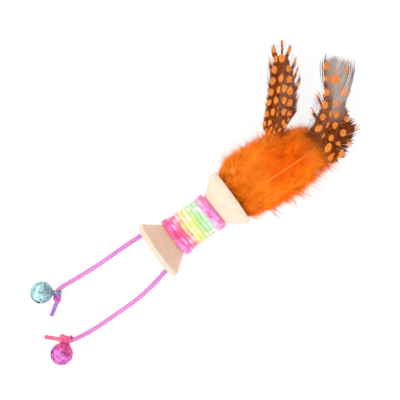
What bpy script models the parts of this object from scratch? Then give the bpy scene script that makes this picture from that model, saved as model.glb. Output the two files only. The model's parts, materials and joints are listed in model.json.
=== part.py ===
"""Cat spool toy: a cord-wound wooden spool with two jingle bells on cords and a bunch of feathers.

The spool lies on its two rims. X runs along its axis towards the feathers, Z is up, and the
origin is on the table under the middle of the toy. Sizes are in metres.
"""

import math

import bmesh
import bpy
from mathutils import Vector

MM = 0.001
TURN = 2 * math.pi
UP = Vector((0, 0, 1))

# Clearances
GAP = 0.3 * MM  # between pieces that touch on the real toy
SEAM_GAP = 0.15 * MM  # between the two crimped shells of a bell
TURN_GAP = 0.07 * MM  # between neighbouring turns of the winding

# Where the origin lies, seen from the middle of the spool
ORIGIN_X = 4.9 * MM
ORIGIN_Y = 12.65 * MM

# Turned wooden spool
SPOOL_LENGTH = 41.2 * MM
RIM_DIAMETER = 26.5 * MM
RIM_WIDTH = 2.35 * MM
RIM_EDGE = 0.5 * MM
CONE_ANGLE = math.radians(38.5)
BARREL_DIAMETER = 14.0 * MM
BORE_DIAMETER = 7.0 * MM

# Satin cord wound round the barrel, flattened by the pull
WOUND_WIDTH = 1.88 * MM
WOUND_THICKNESS = 1.5 * MM
WOUND_FROM_BELL_END = 9.5 * MM
WOUND_FROM_FEATHER_END = 10.2 * MM
TRAPPED_TURNS = 2  # the first turns stand proud, over the trapped end of the cord
TRAPPED_LIFT = 0.5 * MM
TRAPPED_FADE = 0.5  # of a turn, over which they come down to the rest

# Bell cords, glued into blind holes in the end face
CORD_DIAMETER = 2.0 * MM
CORD_HOLE_INSET = 3.75 * MM
CORD_HOLE_DEPTH = 4.0 * MM
STUB_PROUD = 1.0 * MM
TAIL_DIAMETER = 1.75 * MM
KNOT_DIAMETER = 3.8 * MM
KNOT_LENGTH = 2.6 * MM
KNOT_STRAND = 0.8 * MM

# Jingle bells of pressed sheet
BELL_DIAMETER = 9.8 * MM
BELL_SHEET = 0.4 * MM
BELL_TILT = math.radians(20)  # the loop lies lower than the ball
COLLAR_BELOW = 0.5 * MM
COLLAR_ABOVE = 0.5 * MM
NECK_ANGLE = math.radians(36)  # where the neck leaves the ball, seen from its centre
NECK_DIAMETER = 2.2 * MM
NECK_FLARE = 1.5  # 1 is a plain cone, more is a trumpet
LOOP_STANDOFF = 2.15 * MM  # from the ball to the middle of the loop
LOOP_HOLE_DIAMETER = 2.9 * MM
LOOP_WIRE = 0.85 * MM
LOOP_THICKNESS = 1.3 * MM
SOUND_HOLE_DIAMETER = 1.7 * MM
SOUND_HOLE_ANGLE = math.radians(18)  # below the seam
SOUND_SLIT_WIDTH = 0.7 * MM
PELLET_DIAMETER = 3.0 * MM

# Feathers and marabou plumes, glued into the bore
PLUG_LENGTH = 10.0 * MM
QUILL_DEPTH = 8.0 * MM
QUILL_SPREAD = 1.3 * MM
SHAFT_DIAMETER = 1.6 * MM
SHAFT_TIP_DIAMETER = 0.6 * MM
QUILL_DIAMETER = 1.2 * MM
QUILL_TIP_DIAMETER = 0.6 * MM
VANE_THICKNESS = 0.6 * MM

# Facets round each kind of piece, and the spacing of the rings along it
ARC_STEP = math.radians(18)
SHARP_EDGE = math.radians(35)
SPOOL_FACETS = 40
DRILL_FACETS = 16
WINDING_STEPS = 18  # in each turn
STRAND_FACETS = 8
STUB_FACETS = 12
ROUND_END_STEPS = 5
KNOT_STEPS = 30
BELL_FACETS = 24
LOOP_FACETS = 20
PUNCH_FACETS = 14
SHAFT_FACETS = 6
SHAFT_RING_SPACING = 3.5 * MM
VANE_FACETS = 12
DOWN_FACETS = 16
PLUG_FACETS = 24

# What follows from the sizes above
RIM_RADIUS = RIM_DIAMETER / 2
HALF_LENGTH = SPOOL_LENGTH / 2
BARREL_RADIUS = BARREL_DIAMETER / 2
CORD_RADIUS = CORD_DIAMETER / 2
CORD_OFFSET = RIM_RADIUS - CORD_HOLE_INSET
PIVOT_OUT = STUB_PROUD + GAP + CORD_RADIUS
BELL_RADIUS = BELL_DIAMETER / 2
COLLAR_RADIUS = BELL_RADIUS + SEAM_GAP + BELL_SHEET
LOOP_REACH = BELL_RADIUS + LOOP_STANDOFF
LOOP_HEIGHT = COLLAR_RADIUS - LOOP_REACH * math.sin(BELL_TILT)

# Hand-laid routes, in millimetres. A bell cord's route and its loop are seen from its pivot, with
# heights above the table. A tail is seen from its knot. The slot's roll is how far the sound slot of
# the bell is turned round the bell's axis, from lying flat.
BELLS = {
    "blue": {
        "side": 1,
        "heading": math.radians(141.9),
        "through": 1,
        "loop": (-45.4, 1.3),
        "route": [(-6.6, 0.3, 11.3), (-13.0, 0.4, 7.2), (-18.7, 0.5, 4.0), (-25.0, 0.7, 2.0),
                  (-31.6, 1.2, 1.2), (-37.8, 1.7, 1.4), (-42.0, 2.1, 2.4)],
        "tail": [(-3.0, -2.3, -1.7), (-5.2, -3.7, -2.0), (-7.6, -5.2, -2.0)],
        "slot_roll": math.radians(28),
        "colour": "9FC4CE",
        "tail_colour": "C46FD8",
    },
    "pink": {
        "side": -1,
        "heading": math.radians(206.8),
        "through": -1,
        "loop": (-53.4, -0.2),
        "route": [(-5.9, -1.3, 11.5), (-13.7, -2.6, 7.5), (-21.2, -3.2, 4.0), (-28.3, -3.2, 2.0),
                  (-35.3, -3.2, 1.2), (-41.9, -2.9, 1.3), (-47.4, -2.2, 1.9), (-50.6, -1.6, 2.5)],
        "tail": [(-3.1, 0.9, -1.5), (-5.0, 2.5, -2.0), (-8.0, 5.5, -2.0)],
        "slot_roll": math.radians(-20),
        "colour": "D95BBE",
        "tail_colour": "F0718F",
    },
}

# A feather's route beyond the bore, seen from the bore's mouth, and its vane: where the vane starts
# along the route, and its half width at shares of its length, left and right of the shaft.
FEATHERS = {
    "left": {
        "seat": (1, 1),
        "route": [(9.4, 2.0, 1.8), (19.4, 5.3, 2.3), (27.5, 9.8, 2.0), (32.8, 13.9, 1.2), (37.7, 18.7, 0.2),
                  (42.3, 23.4, -0.8), (46.3, 28.0, -1.6), (50.9, 33.6, -2.6), (55.3, 39.1, -3.4),
                  (57.6, 42.2, -3.7)],
        "vane_start": 32.0,
        "vane": [(0.0, 5.0, 3.0), (0.13, 6.0, 4.6), (0.37, 6.2, 8.2), (0.61, 6.6, 8.4),
                 (0.85, 5.2, 6.4), (0.95, 4.2, 4.6), (1.0, 1.8, 2.0)],
    },
    "right": {
        "seat": (-1, 1),
        "route": [(6.0, -2.0, 3.6), (13.8, -3.1, 6.0), (28.0, -3.9, 6.0), (41.2, -3.7, 3.4),
                  (46.4, -1.6, 2.2), (51.6, 1.0, 0.8), (56.3, 4.5, -0.7), (62.3, 10.2, -2.1),
                  (67.0, 15.7, -3.1), (71.6, 22.2, -3.8)],
        "vane_start": 42.0,
        "vane": [(0.0, 4.0, 8.0), (0.1, 6.5, 12.8), (0.25, 7.8, 13.4), (0.38, 8.4, 12.4), (0.53, 8.6, 6.4),
                 (0.62, 8.4, 6.6), (0.7, 6.4, 7.4), (0.85, 6.0, 8.2), (1.0, 4.8, 6.0)],
    },
}

# A plume's quill, and its down as stations: x, y, z, half width and half height.
PLUMES = {
    "left": {
        "seat": (1, -1),
        "route": [(9.0, 4.5, -2.4), (20.0, 6.8, -3.2), (30.0, 6.2, -4.2)],
        "down": [(0.7, 4.6, -0.8, 3.6, 6.0), (2.2, 5.5, -1.6, 5.2, 8.8), (9.4, 7.5, -2.8, 7.1, 10.0),
                 (19.4, 7.1, -3.2, 6.7, 9.4), (26.5, 6.8, -4.6, 6.4, 7.8), (33.0, 5.6, -5.6, 5.4, 6.2),
                 (38.0, 4.4, -6.4, 4.2, 4.4), (41.0, 3.4, -7.0, 1.8, 2.2)],
    },
    "right": {
        "seat": (-1, -1),
        "route": [(9.0, -4.5, -2.4), (20.0, -7.0, -3.4), (34.0, -7.0, -5.0)],
        "down": [(0.7, -4.8, -0.8, 3.8, 6.0), (2.2, -5.8, -1.6, 5.4, 8.8), (9.4, -7.1, -2.8, 6.7, 10.0),
                 (19.4, -7.6, -3.2, 7.2, 9.4), (29.4, -7.5, -4.0, 6.9, 8.6), (36.4, -7.4, -5.2, 6.5, 7.2),
                 (41.4, -6.0, -6.2, 4.8, 5.4), (44.6, -5.2, -6.8, 2.6, 3.4), (46.0, -5.0, -7.0, 1.0, 1.4)],
    },
}


def clear_scene():
    for leftover in list(bpy.data.objects):
        bpy.data.objects.remove(leftover)


def finish(name, colour, roughness, metallic=0.0):
    """A Principled material with an sRGB hex colour turned to linear."""
    shares = [int(colour[i : i + 2], 16) / 255 for i in (0, 2, 4)]
    linear = [c / 12.92 if c <= 0.04045 else ((c + 0.055) / 1.055) ** 2.4 for c in shares]
    material = bpy.data.materials.new(name)
    material.use_nodes = True
    shader = material.node_tree.nodes["Principled BSDF"]
    shader.inputs["Base Color"].default_value = (*linear, 1)
    shader.inputs["Roughness"].default_value = roughness
    shader.inputs["Metallic"].default_value = metallic
    return material


def guide(name, place, parent=None):
    """An empty that carries pieces."""
    empty = bpy.data.objects.new(name, None)
    empty.location = place
    empty.parent = parent
    bpy.context.collection.objects.link(empty)
    return empty


def piece(name, bm, parent, material=None):
    """An object from a bmesh, on its carrier. One with no material is a cutter."""
    bmesh.ops.recalc_face_normals(bm, faces=bm.faces)
    mesh = bpy.data.meshes.new(name)
    bm.to_mesh(mesh)
    bm.free()
    mesh.shade_smooth()
    mesh.set_sharp_from_angle(angle=SHARP_EDGE)
    made = bpy.data.objects.new(name, mesh)
    made.parent = parent
    bpy.context.collection.objects.link(made)
    if material:
        mesh.materials.append(material)
    else:
        made.hide_render = True
        made.display_type = "WIRE"
    return made


def boolean(target, operation, tool):
    modifier = target.modifiers.new(f"{operation.lower()} {tool.name}", "BOOLEAN")
    modifier.operation = operation
    modifier.object = tool


def arc(centre, radius, start, end):
    """Points (along, out) on an arc, with angles from the along direction."""
    steps = max(1, round(abs(end - start) / ARC_STEP))
    angles = [start + (end - start) * i / steps for i in range(steps + 1)]
    return [(centre[0] + radius * math.cos(a), centre[1] + radius * math.sin(a)) for a in angles]


def turned(outline, segments, axis="X", closed=False):
    """A bmesh turned from an outline of (along the axis, radius) points."""
    bm = bmesh.new()
    along = Vector((1, 0, 0)) if axis == "X" else Vector((0, 1, 0))
    out = UP if axis == "X" else Vector((1, 0, 0))
    points = [bm.verts.new(along * a + out * r) for a, r in outline]
    pairs = list(zip(points, points[1:]))
    if closed:
        pairs.append((points[-1], points[0]))
    edges = [bm.edges.new(pair) for pair in pairs]
    bmesh.ops.spin(bm, geom=points + edges, axis=along, cent=(0, 0, 0), angle=TURN, steps=segments)
    bmesh.ops.remove_doubles(bm, verts=bm.verts, dist=0.001 * MM)
    return bm


def loft(centres, sizes, sides, ups=None, closed=False, facing=None):
    """A bmesh of elliptical rings along a line, each with its half width and half height.

    The rings stand square to the line, or to one direction that they all face.
    """
    bm = bmesh.new()
    count = len(centres)
    rings = []
    for i, (centre, (half_width, half_height)) in enumerate(zip(centres, sizes)):
        before = centres[i - 1] if i or closed else centre
        after = centres[(i + 1) % count] if i + 1 < count or closed else centre
        tangent = facing or (after - before).normalized()
        side = tangent.cross(ups[i] if ups else UP).normalized()
        top = side.cross(tangent)
        angles = [TURN * k / sides for k in range(sides)]
        rings.append([
            bm.verts.new(centre + side * half_width * math.cos(a) + top * half_height * math.sin(a))
            for a in angles
        ])
    joined = list(zip(rings, rings[1:] + rings[:1])) if closed else list(zip(rings, rings[1:]))
    for first, second in joined:
        for k in range(sides):
            bm.faces.new((first[k], first[k - 1], second[k - 1], second[k]))
    if not closed:
        bm.faces.new(rings[0])
        bm.faces.new(rings[-1])
    return bm


def smooth(points, spacing):
    """Evenly spaced points on a smooth curve through the given ones."""
    knots = [2 * points[0] - points[1], *points, 2 * points[-1] - points[-2]]
    fine = []
    for a, b, c, d in zip(knots, knots[1:], knots[2:], knots[3:]):
        for t in (i / 16 for i in range(16)):
            bend = (2 * a - 5 * b + 4 * c - d) * t**2 + (3 * b - a - 3 * c + d) * t**3
            fine.append(b + 0.5 * ((c - a) * t + bend))
    fine.append(points[-1])
    reached = [0.0]
    for start, end in zip(fine, fine[1:]):
        reached.append(reached[-1] + (end - start).length)
    steps = max(2, round(reached[-1] / spacing))
    even = []
    for i in range(steps + 1):
        wanted = reached[-1] * i / steps
        k = max(n for n in range(len(fine) - 1) if reached[n] <= wanted)
        even.append(fine[k].lerp(fine[k + 1], (wanted - reached[k]) / (reached[k + 1] - reached[k])))
    return even


def tapered(count, base, tip):
    """Half sizes of a round rod that narrows evenly."""
    return [((base + (tip - base) * i / (count - 1)) / 2,) * 2 for i in range(count)]


def between(stations, share):
    """Values read from a short list of (share, value, value...) stations."""
    for low, high in zip(stations, stations[1:]):
        if share <= high[0]:
            t = (share - low[0]) / (high[0] - low[0])
            t = t * t * (3 - 2 * t)
            return [a + (b - a) * t for a, b in zip(low[1:], high[1:])]
    return list(stations[-1][1:])


def make_spool(axis):
    """The turned spool: two rims, two cones, a barrel, a bore and two cord holes in one end face."""
    foot = RIM_WIDTH + (RIM_RADIUS - BARREL_RADIUS) / math.tan(CONE_ANGLE)
    rim = arc((RIM_EDGE, RIM_RADIUS - RIM_EDGE), RIM_EDGE, TURN / 2, TURN / 4)
    half = [(0, BORE_DIAMETER / 2), *rim, (RIM_WIDTH - RIM_EDGE / 2, RIM_RADIUS),
            (RIM_WIDTH, RIM_RADIUS - RIM_EDGE / 4), (foot, BARREL_RADIUS)]
    outline = [(along - HALF_LENGTH, radius) for along, radius in half]
    outline += [(-along, radius) for along, radius in reversed(outline)]
    wood = finish("turned hardwood", "F6E0C4", 0.55)
    spool = piece("spool", turned(outline, SPOOL_FACETS, closed=True), axis, wood)
    hole_radius = CORD_RADIUS + GAP
    proud = CORD_HOLE_DEPTH  # the drill stands as far out of the face as it goes in
    for word, plan in BELLS.items():
        drill = turned([(-proud, 0), (-proud, hole_radius), (CORD_HOLE_DEPTH, hole_radius),
                        (CORD_HOLE_DEPTH, 0)], DRILL_FACETS)
        bmesh.ops.translate(drill, verts=drill.verts, vec=(-HALF_LENGTH, plan["side"] * CORD_OFFSET, 0))
        boolean(spool, "DIFFERENCE", piece(f"{word} hole drill", drill, axis))


def winding_radius(along, turn):
    """How far from the axis the middle of the cord runs: on the barrel, or up on a cone."""
    half_width, half_thickness = WOUND_WIDTH / 2, WOUND_THICKNESS / 2
    reach = math.hypot(half_width * math.sin(CONE_ANGLE), half_thickness * math.cos(CONE_ANGLE)) + GAP
    from_end = HALF_LENGTH - abs(along) - RIM_WIDTH
    on_cone = RIM_RADIUS - from_end * math.tan(CONE_ANGLE) + reach / math.cos(CONE_ANGLE)
    fade = min(1, max(0, (turn - TRAPPED_TURNS) / TRAPPED_FADE + 1))
    on_barrel = BARREL_RADIUS + GAP + half_thickness + TRAPPED_LIFT * (1 - fade)
    return max(on_barrel, on_cone)


def make_winding(axis):
    """One layer of cord in a close helix, between the two cones."""
    pitch = WOUND_WIDTH + TURN_GAP
    start = WOUND_FROM_BELL_END - HALF_LENGTH
    turns = math.floor((HALF_LENGTH - WOUND_FROM_FEATHER_END - start) / pitch)
    centres, outward = [], []
    for i in range(turns * WINDING_STEPS + 1):
        turn = i / WINDING_STEPS
        angle = TURN * turn - TURN / 4
        out = Vector((0, math.cos(angle), math.sin(angle)))
        along = start + pitch * turn
        centres.append(Vector((along, 0, 0)) + out * winding_radius(along, turn))
        outward.append(out)
    sizes = [(WOUND_WIDTH / 2, WOUND_THICKNESS / 2)] * len(centres)
    satin = finish("variegated satin cord", "E9C96A", 0.4)
    piece("cord_winding", loft(centres, sizes, STRAND_FACETS, outward), axis, satin)


def make_cord_stub(word, side, axis):
    """The glued end of a bell cord, in its hole and a little way out of it."""
    inner = CORD_HOLE_DEPTH - GAP
    ends = [Vector((-HALF_LENGTH + along, side * CORD_OFFSET, 0)) for along in (inner, -STUB_PROUD)]
    sizes = [(CORD_RADIUS, CORD_RADIUS)] * len(ends)
    satin = finish(f"{word} cord end satin", "E889D6", 0.4)
    piece(f"cord_stub_{word}", loft(ends, sizes, STUB_FACETS), axis, satin)


def make_bell_cord(word, points, pivot):
    """The free cord as a tube. Its round end turns on the pivot, clear of the stub."""
    curve = bpy.data.curves.new(f"bell_cord_{word}", "CURVE")
    curve.dimensions = "3D"
    curve.bevel_depth = CORD_RADIUS
    curve.bevel_resolution = 2
    curve.resolution_u = 1
    curve.use_fill_caps = True
    round_end = []
    for i in range(ROUND_END_STEPS):
        angle = TURN / 4 * (i + 0.5) / ROUND_END_STEPS
        back = points[0] + Vector((CORD_RADIUS * math.cos(angle), 0, 0))
        round_end.append((back, math.sin(angle)))
    stations = round_end + [(point, 1.0) for point in smooth(points, CORD_DIAMETER)]
    spline = curve.splines.new("POLY")
    spline.points.add(len(stations) - 1)
    for target, (place, radius) in zip(spline.points, stations):
        target.co = (*place, 1)
        target.radius = radius
    curve.materials.append(finish(f"{word} bell cord satin", "E889D6", 0.4))
    cord = bpy.data.objects.new(curve.name, curve)
    cord.parent = pivot
    bpy.context.collection.objects.link(cord)


def make_knot(word, centre, through, pivot):
    """An overhand stopper knot, drawn as a closed three-lobed strand round the cord's line."""
    wide = (KNOT_DIAMETER - KNOT_STRAND) / 2 / 3
    deep = (KNOT_LENGTH - KNOT_STRAND) / 2
    across = through.cross(UP).normalized()
    strand = []
    for t in (TURN * i / KNOT_STEPS for i in range(KNOT_STEPS)):
        lobe = across * (math.sin(t) + 2 * math.sin(2 * t)) + UP * (math.cos(t) - 2 * math.cos(2 * t))
        strand.append(centre + lobe * wide - through * deep * math.sin(3 * t))
    sizes = [(KNOT_STRAND / 2, KNOT_STRAND / 2)] * KNOT_STEPS
    ups = [(point - centre) for point in strand]
    satin = finish(f"{word} knot satin", "D8609F", 0.4)
    piece(f"knot_{word}", loft(strand, sizes, STRAND_FACETS, ups, closed=True), pivot, satin)


def make_tail(word, plan, centre, start, pivot):
    """The cut end of the cord beyond its knot, lying down on the table."""
    points = smooth([start, *(centre + Vector(p) * MM for p in plan["tail"])], TAIL_DIAMETER)
    sizes = [(TAIL_DIAMETER / 2, TAIL_DIAMETER / 2)] * len(points)
    satin = finish(f"{word} cord tail satin", plan["tail_colour"], 0.4)
    piece(f"cord_tail_{word}", loft(points, sizes, STRAND_FACETS), pivot, satin)


def make_upper_shell(word, loop, lacquer):
    """The shell with the neck and the loop. It ends at the seam."""
    ball = (LOOP_REACH, 0)
    neck_top = LOOP_REACH - BELL_RADIUS - LOOP_WIRE / 2
    outer_arc = arc(ball, BELL_RADIUS, TURN / 4, TURN / 2 - NECK_ANGLE)
    foot_along, foot_out = outer_arc[-1]
    neck_out = NECK_DIAMETER / 2
    neck = []
    for t in (0.4, 0.75, 1):
        flare = (foot_out - neck_out) * (1 - t) ** NECK_FLARE
        neck.append((foot_along + (neck_top - foot_along) * t, neck_out + flare))
    inner_arc = arc(ball, BELL_RADIUS - BELL_SHEET, TURN / 2, TURN / 4)
    shell = turned([*inner_arc, *outer_arc, *neck, (neck_top, 0)], BELL_FACETS)
    top = piece(f"bell_{word}_top", shell, loop, lacquer)
    middle = (LOOP_HOLE_DIAMETER + LOOP_WIRE) / 2
    angles = [TURN * i / STRAND_FACETS for i in range(STRAND_FACETS)]
    wire = [(LOOP_THICKNESS / 2 * math.cos(a), middle + LOOP_WIRE / 2 * math.sin(a)) for a in angles]
    eye = piece(f"{word} loop eye", turned(wire, LOOP_FACETS, axis="Y", closed=True), loop)
    boolean(top, "UNION", eye)


def make_lower_shell(word, slot_roll, loop, lacquer):
    """The shell whose collar is crimped over the upper one, with a slot between two sound holes."""
    ball = (LOOP_REACH, 0)
    inner = BELL_RADIUS - BELL_SHEET
    skirt = math.acos(COLLAR_BELOW / BELL_RADIUS)
    seat = math.acos(SEAM_GAP / inner)
    seat_out = BELL_RADIUS + SEAM_GAP
    collar = [(LOOP_REACH + COLLAR_BELOW, COLLAR_RADIUS - BELL_SHEET / 2),
              (LOOP_REACH + COLLAR_BELOW / 2, COLLAR_RADIUS), (LOOP_REACH - COLLAR_ABOVE, COLLAR_RADIUS),
              (LOOP_REACH - COLLAR_ABOVE, seat_out), (LOOP_REACH + SEAM_GAP, seat_out)]
    shell = turned([*arc(ball, BELL_RADIUS, 0, skirt), *collar, *arc(ball, inner, seat, 0)], BELL_FACETS)
    bottom = piece(f"bell_{word}_bottom", shell, loop, lacquer)

    slot = guide(f"{word} sound slot", (LOOP_REACH, 0, 0), loop)
    slot.rotation_euler = (slot_roll, 0, 0)
    hole_radius = SOUND_HOLE_DIAMETER / 2
    beyond = BELL_DIAMETER  # far enough for the tools to stand out of the shell
    hole_turn = TURN / 4 - SOUND_HOLE_ANGLE
    for side in (1, -1):
        punch = turned([(0, 0), (0, hole_radius), (beyond, hole_radius), (beyond, 0)], PUNCH_FACETS)
        cutter = piece(f"{word} sound hole {side}", punch, slot)
        cutter.rotation_euler = (0, 0, side * hole_turn)
        boolean(bottom, "DIFFERENCE", cutter)
    blade = bmesh.new()
    fan = [(0, 0), *arc((0, 0), beyond, -hole_turn, hole_turn)]
    face = blade.faces.new([blade.verts.new((x, y, -SOUND_SLIT_WIDTH / 2)) for x, y in fan])
    grown = bmesh.ops.extrude_face_region(blade, geom=[face])["geom"]
    raised = [part for part in grown if isinstance(part, bmesh.types.BMVert)]
    bmesh.ops.translate(blade, vec=(0, 0, SOUND_SLIT_WIDTH), verts=raised)
    boolean(bottom, "DIFFERENCE", piece(f"{word} sound slit", blade, slot))


def make_pellet(word, loop):
    """The loose pellet, which lies on the inside of the ball."""
    carrier = guide(f"{word} ball centre", (LOOP_REACH, 0, 0), loop)
    lowest = PELLET_DIAMETER / 2 + GAP - (BELL_RADIUS - BELL_SHEET)
    pellet = bmesh.new()
    bmesh.ops.create_icosphere(pellet, subdivisions=2, radius=PELLET_DIAMETER / 2)
    bmesh.ops.translate(pellet, verts=pellet.verts, vec=(0, 0, lowest))
    piece(f"bell_{word}_pellet", pellet, carrier, finish(f"{word} pellet steel", "9A9A9A", 0.35, 1.0))


def make_bell(word, plan, loop):
    """A pressed bell, seen from its loop: the ball is at +X and the loop's hole runs along Y."""
    upper_lacquer, lower_lacquer = (
        finish(f"{word} bell {end} lacquer", plan["colour"], 0.3, 1.0) for end in ("upper", "lower"))
    make_upper_shell(word, loop, upper_lacquer)
    make_lower_shell(word, plan["slot_roll"], loop, lower_lacquer)
    make_pellet(word, loop)


def make_strand(word, plan, toy, axis):
    """A bell cord with its stub, knot, tail and bell."""
    side = plan["side"]
    make_cord_stub(word, side, axis)
    pivot = guide(f"{word} cord pivot", (-HALF_LENGTH - PIVOT_OUT, side * CORD_OFFSET, 0), toy)
    eye = Vector((plan["loop"][0] * MM, plan["loop"][1] * MM, LOOP_HEIGHT))
    heading = plan["heading"]
    through = plan["through"] * Vector((-math.sin(heading), math.cos(heading), 0))
    half_eye = LOOP_THICKNESS / 2
    points = [Vector((0, 0, RIM_RADIUS)), *(Vector(p) * MM for p in plan["route"]),
              eye - through * half_eye, eye + through * half_eye]
    make_bell_cord(word, points, pivot)
    knot = eye + through * (half_eye + GAP + KNOT_LENGTH / 2)
    make_knot(word, knot, through, pivot)
    tail_start = knot + through * (KNOT_LENGTH / 2 + GAP + TAIL_DIAMETER / 4)
    make_tail(word, plan, knot, tail_start, pivot)
    loop = guide(f"{word} bell loop", eye, pivot)
    loop.rotation_euler = (0, -BELL_TILT, heading)
    make_bell(word, plan, loop)


def bunch_route(plan):
    """A quill's line from its seat in the plug: straight out of the bore, then along its route."""
    seat = Vector((0, plan["seat"][0] * QUILL_SPREAD, plan["seat"][1] * QUILL_SPREAD))
    inside = [seat - Vector((QUILL_DEPTH * share, 0, 0)) for share in (1, 0.5, 0)]
    return inside + [Vector(p) * MM for p in plan["route"]]


def make_quill(name, line, base, tip, material, mouth):
    """A tapered shaft, and the channel that it needs in what it passes through."""
    piece(name, loft(line, tapered(len(line), base, tip), SHAFT_FACETS), mouth, material)
    clear = 2 * GAP
    longer = [line[0] - (line[1] - line[0]).normalized() * GAP, *line,
              line[-1] + (line[-1] - line[-2]).normalized() * GAP]
    sizes = tapered(len(longer), base + clear, tip + clear)
    return piece(f"{name} channel", loft(longer, sizes, SHAFT_FACETS), mouth)


def make_vane(name, line, start, stations, mouth, material):
    """The web of a feather: one thin cambered sheet over its shaft."""
    reached = [0.0]
    for a, b in zip(line, line[1:]):
        reached.append(reached[-1] + (b - a).length)
    length = reached[-1] - start
    rise = SHAFT_DIAMETER / 2 + GAP + VANE_THICKNESS / 2
    centres, sizes = [], []
    for i, (point, far) in enumerate(zip(line, reached)):
        if far < start:
            continue
        left, right = (value * MM for value in between(stations, (far - start) / length))
        ahead = (line[min(i + 1, len(line) - 1)] - line[i - 1]).normalized()
        leftward = UP.cross(ahead).normalized()
        centres.append(point + UP * rise + leftward * (left - right) / 2)
        sizes.append(((left + right) / 2, VANE_THICKNESS / 2))
    piece(name, loft(centres, sizes, VANE_FACETS), mouth, material)


def make_bunch(axis):
    """Two spotted feathers and two marabou plumes, set in a plug of hot glue at the bore's mouth."""
    mouth = guide("bore mouth", (HALF_LENGTH, 0, 0), axis)
    outward = Vector((1, 0, 0))
    channels = []
    for word, plan in FEATHERS.items():
        line = smooth(bunch_route(plan), SHAFT_RING_SPACING)
        horn = finish(f"{word} feather shaft horn", "F0A862", 0.45)
        shaft = make_quill(f"feather_{word}_shaft", line, SHAFT_DIAMETER, SHAFT_TIP_DIAMETER, horn, mouth)
        channels.append((word, shaft))
        barbs = finish(f"{word} feather barbs", "5A3A28", 0.7)
        start = plan["vane_start"] * MM + QUILL_DEPTH
        make_vane(f"feather_{word}_vane", line, start, plan["vane"], mouth, barbs)
    for word, plan in PLUMES.items():
        line = smooth(bunch_route(plan), SHAFT_RING_SPACING)
        horn = finish(f"{word} plume quill horn", "F0903C", 0.45)
        quill = make_quill(f"plume_{word}_quill", line, QUILL_DIAMETER, QUILL_TIP_DIAMETER, horn, mouth)
        channels.append((word, quill))
        centres = [Vector(station[:3]) * MM for station in plan["down"]]
        sizes = [(station[3] * MM, station[4] * MM) for station in plan["down"]]
        fluff = finish(f"{word} plume down", "F4721A", 0.9)
        down = piece(f"plume_{word}_down", loft(centres, sizes, DOWN_FACETS, facing=outward), mouth, fluff)
        for owner, channel in channels:
            if owner == word:
                boolean(down, "DIFFERENCE", channel)
    plug_radius = BORE_DIAMETER / 2 - GAP
    outline = [(-PLUG_LENGTH, 0), (-PLUG_LENGTH, plug_radius), (0, plug_radius), (0, 0)]
    glue = piece("glue_plug", turned(outline, PLUG_FACETS), mouth, finish("hot glue", "E8DDB8", 0.3))
    for _, channel in channels:
        boolean(glue, "DIFFERENCE", channel)


clear_scene()
toy = guide("toy", (-ORIGIN_X, -ORIGIN_Y, 0))
axis = guide("spool axis", (0, 0, RIM_RADIUS), toy)
make_spool(axis)
make_winding(axis)
for word, plan in BELLS.items():
    make_strand(word, plan, toy, axis)
make_bunch(axis)
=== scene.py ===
"""Dresses the cat spool toy: turned wood, satin cord, lacquered bells, spotted feathers and orange down."""

import json
import math
from functools import partial

import bpy
import numpy as np
from mathutils import Matrix, Vector


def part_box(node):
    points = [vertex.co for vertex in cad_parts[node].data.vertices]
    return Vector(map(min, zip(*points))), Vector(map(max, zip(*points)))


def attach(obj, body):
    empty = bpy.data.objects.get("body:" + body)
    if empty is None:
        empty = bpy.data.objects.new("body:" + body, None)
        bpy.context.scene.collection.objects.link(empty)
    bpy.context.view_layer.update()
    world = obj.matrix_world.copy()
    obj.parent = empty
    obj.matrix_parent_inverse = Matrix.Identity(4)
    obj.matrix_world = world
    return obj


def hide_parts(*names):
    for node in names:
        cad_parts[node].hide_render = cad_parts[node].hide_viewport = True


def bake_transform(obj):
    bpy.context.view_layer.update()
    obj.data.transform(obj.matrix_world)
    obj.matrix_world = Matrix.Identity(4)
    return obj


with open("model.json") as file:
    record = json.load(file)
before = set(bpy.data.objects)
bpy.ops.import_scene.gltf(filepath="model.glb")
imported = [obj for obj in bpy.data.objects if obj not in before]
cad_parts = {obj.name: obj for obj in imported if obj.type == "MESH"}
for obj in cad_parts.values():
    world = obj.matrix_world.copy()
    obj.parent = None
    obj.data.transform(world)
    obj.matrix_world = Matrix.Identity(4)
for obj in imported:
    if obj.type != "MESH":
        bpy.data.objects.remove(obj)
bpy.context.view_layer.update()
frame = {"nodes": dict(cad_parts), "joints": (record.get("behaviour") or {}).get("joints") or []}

# Studio: a white table under two long soft boxes, one on each side of the spool, and a third at the
# bell end. The camera looks straight down and is turned so that the feathers point up and right.
MM = 0.001
UP = Vector((0, 0, 1))
scene = bpy.context.scene
scene.view_settings.view_transform = "Standard"
spool_low, spool_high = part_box("spool")
spool_centre = (spool_low + spool_high) / 2


def linear(colour):
    """An sRGB hex colour as linear RGBA."""
    shares = [int(colour[i:i + 2], 16) / 255 for i in (0, 2, 4)]
    return (*(c / 12.92 if c <= 0.04045 else ((c + 0.055) / 1.055) ** 2.4 for c in shares), 1.0)


def plug(made, inputs):
    """Sets a node's inputs to values, or links them to outputs. A whole node gives the first one in use."""
    for name, value in inputs.items():
        if isinstance(value, bpy.types.Node):
            value = next(output for output in value.outputs if output.enabled)
        if isinstance(value, bpy.types.NodeSocket):
            made.id_data.links.new(value, made.inputs[name])
        else:
            made.inputs[name].default_value = value


def node(tree, kind, inputs=None, stops=None, **settings):
    """One shader node, with its settings, its inputs and a ramp's stops."""
    made = tree.nodes.new(f"ShaderNode{kind}")
    for name, value in settings.items():
        setattr(made, name, value)
    plug(made, inputs or {})
    if stops:
        points = made.color_ramp.elements
        while len(points) < len(stops):
            points.new(1.0)
        for point, (place, colour) in zip(points, stops):
            point.position = place
            point.color = linear(colour)
    return made


def bare_tree(holder):
    """Empties a world's or a material's nodes, and gives the function that adds new ones."""
    holder.use_nodes = True
    holder.node_tree.nodes.clear()
    return partial(node, holder.node_tree)


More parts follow.
